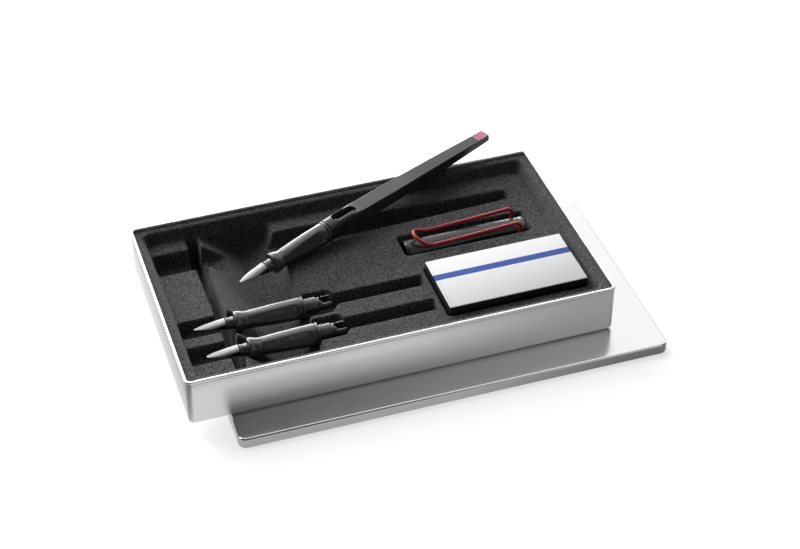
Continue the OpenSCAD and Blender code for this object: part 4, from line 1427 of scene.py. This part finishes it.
def flat_section(s: float, radius: float, half_w: float, half_h: float, power: float = 46.0) -> Array:
    """One ring of a round form with flats, whose corners stay on the same points.

    Args:
        s: Place along the axis.
        radius: Radius of the round form.
        half_w: Half the width over the side flats.
        half_h: Half the height over the top and bottom flats.
        power: Sharpness of the corners.

    Returns:
        The ring.
    """
    soft = math.radians(5.0)
    top = math.acos(min(half_h / radius, 1.0)) if half_h < radius else 0.0
    side = math.asin(min(half_w / radius, 1.0)) if half_w < radius else math.pi / 2
    if top > side:
        top = side = math.atan2(half_w, half_h)
    top = max(top, 2.2 * soft)
    side = min(max(side, top), math.pi / 2 - 2.2 * soft)
    gap = max(side - top, 0.0)
    inner = min(soft, gap / 2) if gap > 0 else 0.0
    knots = [0.0, top - soft, top + inner, side - inner, side + soft, math.pi / 2]
    angles = np.concatenate([np.linspace(a, b, 7)[:-1] for a, b in zip(knots, knots[1:])])
    angles = np.concatenate([angles, math.pi - angles[::-1]])
    full = np.concatenate([angles, math.pi + angles])
    c, n = np.abs(np.cos(full)), np.abs(np.sin(full))
    inverse = (1 / radius) ** power + (n / half_w) ** power + (c / half_h) ** power
    return ring_about(s, inverse ** (-1 / power), full)


@dataclass
class Pen:
    """The leaning pen: its nib unit, its wedge-shaped barrel with the red inlay, and its cartridge.

    Attributes:
        bores: The barrel's bores, from its mouth, as (end, radius).
    """

    place: Place = in_tray(-68.2, 8.1, 23.07674, 22.9, 3.86993)
    length: float = 178.0
    start: float = 58.9
    radius: float = 6.3
    front_hw: float = 5.1
    mid_hw: float = 4.7
    end_hw: float = 3.15
    mid_s: float = 104.0
    late_s: float = 147.0
    flat_s: float = 71.0
    flat_run: float = 12.0
    flat_hh: float = 4.15
    late_hh: float = 2.75
    end_hh: float = 1.75
    nose_r: float = 1.2
    end_r: float = 1.4
    window_s: float = 63.6
    window_l: float = 17.0
    window_hw: float = 3.5
    inlay_l: float = 7.3
    inlay_t: float = 0.6
    inlay_end: float = 1.0
    bores: tuple[tuple[float, float], ...] = ((66.3, 4.6), (74.0, 3.9), (104.2, 2.95), (143.2, 2.4))

    def half_width(self, s: float) -> float:
        """Returns the barrel's half width at s."""
        knots = [self.start, self.mid_s - 14, self.mid_s, self.length - self.end_r]
        width = float(np.interp(s, knots, [self.front_hw, self.mid_hw, self.mid_hw, self.end_hw]))
        over = s - (self.length - self.end_r)
        if over > 0:
            width = self.end_hw - self.end_r + math.sqrt(max(self.end_r ** 2 - over ** 2, 0.0))
        return width

    def half_height(self, s: float) -> float:
        """Returns the barrel's half height at s, large where it is round."""
        if s < self.flat_s:
            return 30.0
        if s < self.flat_s + self.flat_run:
            t = (s - self.flat_s) / self.flat_run
            return self.radius - (self.radius - self.flat_hh) * t * (1.6 - 0.6 * t)
        knots = [self.flat_s + self.flat_run, self.late_s, self.length - self.nose_r]
        height = float(np.interp(s, knots, [self.flat_hh, self.late_hh, self.end_hh]))
        over = s - (self.length - self.nose_r)
        if over > 0:
            height = self.end_hh - self.nose_r + math.sqrt(max(self.nose_r ** 2 - over ** 2, 0.0))
        return height

    def barrel_shell(self) -> Shell:
        """Returns the barrel's outer form."""
        start, flat, flat_end = self.start, self.flat_s, self.flat_s + self.flat_run
        nose = self.length - self.end_r * (1 - np.sin(np.linspace(0, math.pi / 2, 9)))
        stations = np.concatenate([[start, start + 0.15, start + 0.35], np.linspace(start + 1, flat, 16),
                                   np.linspace(flat + 0.2, flat_end, 16),
                                   np.linspace(flat_end + 1, self.length - 2.2, 60), nose])
        insets = [0.3, 0.1] + [0.0] * (len(stations) - 2)
        return loft([flat_section(s, self.radius - d, self.half_width(s) - d, self.half_height(s) - d)
                     for s, d in zip(stations, insets)])

    def build(self, dresser: Dresser) -> None:
        """Builds and dresses the pen.

        Args:
            dresser: What finishes the pieces.
        """
        unit = NibUnit("pen", "pen", self.place, 1.5)
        unit.build(dresser)
        self._barrel(dresser)
        self._inlay(dresser)
        cartridge = cartridge_shell().shifted(x=unit.sleeve_s - 4 + 0.1)
        dresser.add("pen_ink_cartridge", cartridge, self.place, 35, Slot.INK, "cartridge", "pen_cartridge")

    def _barrel(self, dresser: Dresser) -> None:
        """Builds the barrel with its bores, its ink window and the pocket of its inlay."""
        piece = new_object("barrel_body", self.barrel_shell(), self.place)
        path, start = [], self.start - 1
        for end, radius in self.bores:
            path += [(start, radius), (end, radius)]
            start = end
        s0, wall, low = self._pocket()
        pocket = block(s0, s0 + self.inlay_l, -wall, wall, low, 20)
        carved(piece, self.place, revolved(path, 48), self._window_cutter(), pocket)
        dresser.finish(soft_edges(piece, 0.22, 42), 36, Slot.BARREL, "barrel", "pen_barrel")

    def _pocket(self) -> Point:
        """Returns the inlay's pocket: where it starts, its half width and its floor's height."""
        return self.length - self.inlay_end - self.inlay_l, self.end_hw - 0.35, self.end_hh - self.inlay_t

    def _window_cutter(self) -> Shell:
        """Returns the ink window's cutter, which flares outwards so that its lip catches the light."""
        end, rings = self.window_s + self.window_l, []
        for z, inset in ((1.0, 0.7), (4.6, 0.7), (5.6, 0.35), (7.0, -0.25)):
            rings.append(slot_ring(self.window_s + inset, end - inset, self.window_hw - inset, z, 14))
        return loft(rings)

    def _inlay(self, dresser: Dresser) -> None:
        """Builds the red inlay in its pocket, flush with the barrel's top."""
        gap, soft = 0.03, 0.1
        s0, wall, low = self._pocket()
        wall, low = wall - gap, low + gap
        rings = []
        for s in np.linspace(s0 + gap, s0 + self.inlay_l - gap, 9):
            top = self.half_height(s) - 0.02
            half = [(s, wall, low), (s, wall, top - soft), (s, wall - soft, top)]
            rings.append(np.array(half + [(s, -y, z) for _, y, z in reversed(half)]))
        dresser.add("barrel_inlay_red", loft(rings), self.place, 30, Slot.INLAY, "barrel", "barrel_inlay")


def cartridge_shell() -> Shell:
    """Returns an ink cartridge along X, its nose at 0."""
    length, front_r, tail_r, nose_l, nose_r, end_r = 71.0, 2.75, 2.2, 3.0, 1.5, 0.8
    step = nose_l + 26.0
    path = [(0.0, 0.9), (0.0, nose_r - 0.2), (0.2, nose_r), (nose_l - 0.2, nose_r), (nose_l, nose_r + 0.15),
            (nose_l, front_r - 0.5), (nose_l + 0.15, front_r - 0.15), (nose_l + 0.5, front_r),
            (step, front_r), (step + 0.5, front_r - 0.12), (step + 1.0, tail_r + 0.12),
            (step + 1.5, tail_r)]
    return revolved(path + arc(length - end_r, tail_r - end_r, end_r, 90, 0, 6), 32)


# The cap


@dataclass
class Cap:
    """The cap with its wire clip, along X from its mouth."""

    place: Place = in_tray(24.7, 14.05, 14.7)
    length: float = 69.4
    plug_l: float = 3.6
    radius: float = 6.9
    mouth_hw: float = 6.7
    flat_hw: float = 5.5
    taper_l: float = 45.0
    wall: float = 0.7
    bore_end: float = 61.8
    pivot_a: float = 63.8
    wire_r: float = 1.05
    wire_v: float = 6.65
    rear_u: float = 9.9
    low_u: float = 7.1
    low_a: float = 15.0
    tip_u: float = 11.4
    tip_a: float = 5.6
    bend_r: float = 3.2
    lean: float = 1.4
    pin_v: float = 3.3

    def half_width(self, a: float) -> float:
        """Returns the half width over the flats at a."""
        return float(np.interp(a, [0, self.taper_l], [self.mouth_hw, self.flat_hw]))

    def section(self, a: float, inset: float, power: float = 46.0) -> Array:
        """Returns a ring of the cap at a, inset by a distance."""
        return flat_section(a, self.radius - inset, self.half_width(a) - inset, 40.0, power)

    def shell(self) -> Shell:
        """Returns the hollow cap."""
        end, bore, wall = self.length - self.plug_l, self.bore_end, self.wall
        inside = [(bore, 2.5), (bore, wall + 0.3), (bore - 0.3, wall)]
        inside += [(a, wall) for a in np.linspace(bore - 2, 1.5, 20)] + [(0.3, wall), (0.05, wall - 0.12)]
        outside = [(0.0, 0.35), (0.08, 0.12), (0.3, 0.0)]
        outside += [(a, 0.0) for a in np.linspace(2, end - 0.5, 34)]
        outside += [(end - 0.2, 0.05), (end, 0.25), (end, 2.0)]
        rings = [self.section(a, inset) for a, inset in inside + outside]
        return loft([self.section(bore, 5.0, 2.0), *rings, self.section(end, 6.0, 2.0)])

    def plug_shell(self) -> Shell:
        """Returns the end plug."""
        start, end = self.length - self.plug_l, self.length
        path = [(start + 0.02, 0.45), (start + 0.1, 0.22), (start + 0.3, 0.15), (end - 1.0, 0.15),
                (end - 0.5, 0.3), (end - 0.15, 0.65), (end, 1.1)]
        return loft([self.section(a, inset) for a, inset in path])

    @property
    def back_a(self) -> float:
        """Where the clip's straight side ends and its rear bend starts."""
        return self.pivot_a + self.lean - self.bend_r

    def wire_height(self, a: float) -> float:
        """Returns the clip's height above the cap's axis at a."""
        rear, tip = (self.back_a, self.rear_u, 1.3), (self.tip_a, self.tip_u, 1.5)
        end_a, end_u, power = rear if a > self.low_a else tip
        return self.low_u + (end_u - self.low_u) * ((a - self.low_a) / (end_a - self.low_a)) ** power

    def clip_path(self) -> Array:
        """Returns the wire's centreline from one pivot pin to the other."""
        v, bend, back, front = self.wire_v, self.bend_r, self.back_a, self.tip_a + self.wire_v
        half = [(self.pivot_a + self.lean * t, v, (self.rear_u - bend) * t) for t in np.linspace(0, 1, 9)]
        half += [(a, v, u) for a, u in arc(back, self.rear_u - bend, bend, 0, 90, 10)[1:]]
        half += [(a, v, self.wire_height(a)) for a in np.linspace(back, front, 41)[1:]]
        half += [(a, b, self.wire_height(a)) for a, b in arc(front, 0, v, 90, 180, 18)[1:]]
        return np.array(half + [(a, -b, u) for a, b, u in reversed(half[:-1])])

    def build(self, dresser: Dresser) -> None:
        """Builds and dresses the cap, its plug, its inner sleeve and its clip.

        Args:
            dresser: What finishes the pieces.
        """
        wire, reach = self.wire_r, self.wire_v + self.wire_r
        dresser.add("cap_body", self.shell(), self.place, 36, Slot.CAP, "cap", "cap_shell")
        dresser.add("cap_end_plug", self.plug_shell(), self.place, 36, Slot.GRIP, "cap", "cap_plug")
        sleeve = tube(38.0, self.bore_end - 0.02, 4.7, 3.9, 0.15, 48)
        dresser.add("cap_inner_sleeve", sleeve, self.place, 36, Slot.FEED, "cap", "cap_inner")
        pin = revolved([(self.pin_v, wire - 0.1), (self.pin_v + 0.1, wire), (reach - 0.25, wire),
                        (reach - 0.05, wire - 0.15), (reach, wire - 0.4)], 24)
        pins = [pin.turned(90 * side).shifted(x=self.pivot_a) for side in (-1, 1)]
        clip = swept_wire(self.clip_path(), wire).joined(*pins)
        dresser.add("cap_wire_clip", clip, self.place, 40, Slot.CLIP, "clip", "cap_clip")


# The carton


@dataclass
class Carton:
    """The carton of five cartridges, from its left end."""

    place: Place = in_tray(29.0, -28.55, 15.3)
    length: float = 76.6
    width: float = 39.4
    height: float = 9.4
    card: float = 0.5
    tuck_l: float = 4.0
    count: int = 5

    def build(self, dresser: Dresser) -> None:
        """Builds and dresses the carton, its flap and its cartridges.

        Args:
            dresser: What finishes the pieces.
        """
        w, card, top, end, far = self.width / 2, self.card, self.height, self.length, 20.0
        box = new_object("carton_tray", block(0, end, -w, w, 0, top - card), self.place)
        carved(box, self.place, block(card, end - card, -w + card, w - card, card, far))
        dresser.finish(soft_edges(box, 0.18), 40, Slot.CARTON_DARK, "carton", "carton_base")
        flap = new_object("carton_top", block(0, end, -w, w, top - card + 0.02, top + 0.02), self.place)
        carved(flap, self.place, block(1.7, 1.95, -w - 1, w + 1, top - 0.1, top + 1))
        tuck_x, tuck_w = end - 2 * card - 0.3, w - 2 * card
        tuck = block(tuck_x, tuck_x + card, -tuck_w, tuck_w, top - card - self.tuck_l, top - 0.05)
        flap = merged("carton_top", [flap, new_object("tuck", tuck, self.place)])
        dresser.finish(soft_edges(flap, 0.12), 40, Slot.CARTON_WHITE, "flap", "carton_flap")
        self._cartridges(dresser)

    def _cartridges(self, dresser: Dresser) -> None:
        """Repeats one cartridge across the carton with Geometry Nodes."""
        pitch = (self.width - 2 * self.card) / self.count
        one = cartridge_shell().shifted(self.card + 1.5, -2 * pitch, self.card + 2.75 + 0.05)
        piece = new_object("carton_cartridges", one, self.place)
        group = bpy.data.node_groups.new("row_of_cartridges", "GeometryNodeTree")
        group.interface.new_socket("Geometry", in_out="INPUT", socket_type="NodeSocketGeometry")
        group.interface.new_socket("Geometry", in_out="OUTPUT", socket_type="NodeSocketGeometry")
        modifier = piece.modifiers.new("row", "NODES")
        values = {"Count": ("Int", self.count), "Pitch": ("Float", pitch * MM),
                  "Finish": ("Material", dresser.palette[Slot.INK])}
        sockets = {key: group.interface.new_socket(key, in_out="INPUT", socket_type=f"NodeSocket{kind}")
                   for key, (kind, _) in values.items()}
        tree = Tree(group)
        entry = tree.node("NodeGroupInput").outputs
        offset = tree.node("ShaderNodeCombineXYZ", {"Y": entry["Pitch"]}).outputs[0]
        row = tree.node("GeometryNodeMeshLine", {"Count": entry["Count"], "Offset": offset}, mode="OFFSET")
        copies = {"Points": row.outputs[0], "Instance": entry["Geometry"]}
        spread = tree.node("GeometryNodeInstanceOnPoints", copies).outputs[0]
        real = tree.node("GeometryNodeRealizeInstances", {"Geometry": spread}).outputs[0]
        painted = tree.node("GeometryNodeSetMaterial", {"Geometry": real, "Material": entry["Finish"]})
        tree.node("NodeGroupOutput", {"Geometry": painted.outputs[0]})
        modifier.node_group = group
        for key, (_, value) in values.items():
            modifier[sockets[key].identifier] = value
        nodes = [f"cartridge_{i}" for i in range(1, self.count + 1)]
        dresser.finish(settled(piece), 35, Slot.INK, "carton", *nodes)


# The studio


@dataclass
class Studio:
    """The camera, the lamps, the surroundings and the floor."""

    azimuth: float = -18.21
    elevation: float = 39.24
    roll: float = -0.40
    eye: Point = (-0.23712, -0.735718, 0.6532)
    lens: float = 83.94
    aim: Point = (0.0, 0.0, 0.02)

    def build(self) -> None:
        """Makes everything that isn't part of the set."""
        self._camera()
        self._world()
        self._floor()
        self._lamp("overhead_softbox", (-0.45, 0.85, 1.05), (1.0, 0.8), 10.0)
        self._lamp("rear_strip", (-0.25, 1.6, 0.45), (2.4, 0.5), 34.0)
        self._lamp("left_softbox", (-1.3, 0.2, 0.9), (0.9, 0.9), 2.5)

    def _camera(self) -> None:
        """Makes the camera at the photograph's viewing angle."""
        a, e, r = (math.radians(v) for v in (self.azimuth, self.elevation, self.roll))
        back = Vector((math.sin(a) * math.cos(e), -math.cos(a) * math.cos(e), math.sin(e)))
        right = Vector((math.cos(a), math.sin(a), 0.0))
        up = back.cross(right)
        rolled = (math.cos(r) * right + math.sin(r) * up, -math.sin(r) * right + math.cos(r) * up, back)
        camera = linked("camera", bpy.data.cameras.new("camera"))
        camera.data.lens = self.lens
        camera.data.sensor_width = 36.0
        camera.data.sensor_fit = "HORIZONTAL"
        camera.matrix_world = Matrix.Translation(self.eye) @ Matrix(rolled).transposed().to_4x4()
        bpy.context.scene.camera = camera

    def _lamp(self, name: str, at: Point, size: tuple[float, float], power: float) -> None:
        """Makes a rectangular softbox that points at the set."""
        data = bpy.data.lights.new(name, "AREA")
        data.shape = "RECTANGLE"
        data.size, data.size_y = size
        data.energy = power
        lamp = linked(name, data)
        lamp.location = at
        lamp.rotation_euler = (Vector(self.aim) - Vector(at)).to_track_quat("-Z", "Y").to_euler()
        lamp.visible_camera = False

    @staticmethod
    def _world() -> None:
        """Makes a white backdrop, and surroundings that are bright behind the set and dark before it."""
        world = bpy.data.worlds.new("studio")
        bpy.context.scene.world = world
        world.use_nodes = True
        tree = Tree(world.node_tree)
        coords = tree.node("ShaderNodeTexCoord").outputs["Generated"]
        x, y = tree.axis(coords, "X"), tree.axis(coords, "Y")
        before = tree.times(tree.ramp(x, 0.17, 0.36, 0.05, 0.58), tree.ramp(x, 0.45, 0.65, 1.0, 0.1))
        behind = tree.ramp(x, -0.35, 0.1, 0.45, 1.15)
        glossy = tree.blend(tree.ramp(y, -0.3, 0.2), before, behind)
        diffuse = tree.ramp(y, -0.7, 0.6, 0.06, 0.36)
        path = tree.node("ShaderNodeLightPath").outputs
        seen = tree.math("MAXIMUM", path["Is Camera Ray"], path["Is Transmission Ray"])
        level = tree.blend(seen, tree.blend(path["Is Glossy Ray"], diffuse, glossy), 1.0)
        tree.feed(world.node_tree.nodes["Background"], {"Color": WHITE, "Strength": level})

    @staticmethod
    def _floor() -> None:
        """Makes the pale floor, which is white to the camera and keeps the set's shadow."""
        size, z = 6000.0, -0.05
        corners = np.array([(-size, -size, z), (size, -size, z), (size, size, z), (-size, size, z)])
        floor = new_object("floor", Shell(corners, [(0, 1, 2, 3)]))
        material = bpy.data.materials.new("pale_floor")
        material.use_nodes = True
        tree = Tree(material.node_tree)
        across = tree.axis(tree.node("ShaderNodeTexCoord").outputs["Object"], "X")
        path = tree.node("ShaderNodeLightPath").outputs
        left, right = tree.ramp(across, -0.15, -0.12, 0.03, 0.78), tree.ramp(across, -0.04, 0.13, 0.9, 0.26)
        direct = tree.times(path["Is Camera Ray"], 0.62)
        glow = tree.blend(path["Is Glossy Ray"], direct, tree.math("MINIMUM", left, right))
        tone = tree.blend(path["Is Glossy Ray"], 0.8, 0.3)
        tree.feed(material.node_tree.nodes["Principled BSDF"], {
            "Base Color": tone, "Roughness": 0.9, "Specular IOR Level": 0.0,
            "Emission Color": WHITE, "Emission Strength": glow})
        floor.data.materials.append(material)
        floor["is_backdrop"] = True


def main() -> None:
    """Builds the studio and every piece."""
    bpy.context.scene.view_settings.view_transform = "Standard"
    Studio().build()
    dresser = Dresser(Palette())
    Tin().build(dresser)
    Insert().build(dresser)
    Pen().build(dresser)
    NibUnit("spare_1", "spare_1", in_tray(-99.2, -15.0, 17.2), 1.1).build(dresser)
    NibUnit("spare_2", "spare_2", in_tray(-97.8, -37.4, 17.2), 1.9).build(dresser)
    Cap().build(dresser)
    Carton().build(dresser)
    boxes = {"cad": [list(c) for c in CAD_BOX], "visual": [list(c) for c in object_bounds()]}
    for key, (low, high) in boxes.items():
        LOG.info("%s box %s mm", key, [round((b - a) / MM, 2) for a, b in zip(low, high)])


if __name__ == "__main__":
    main()
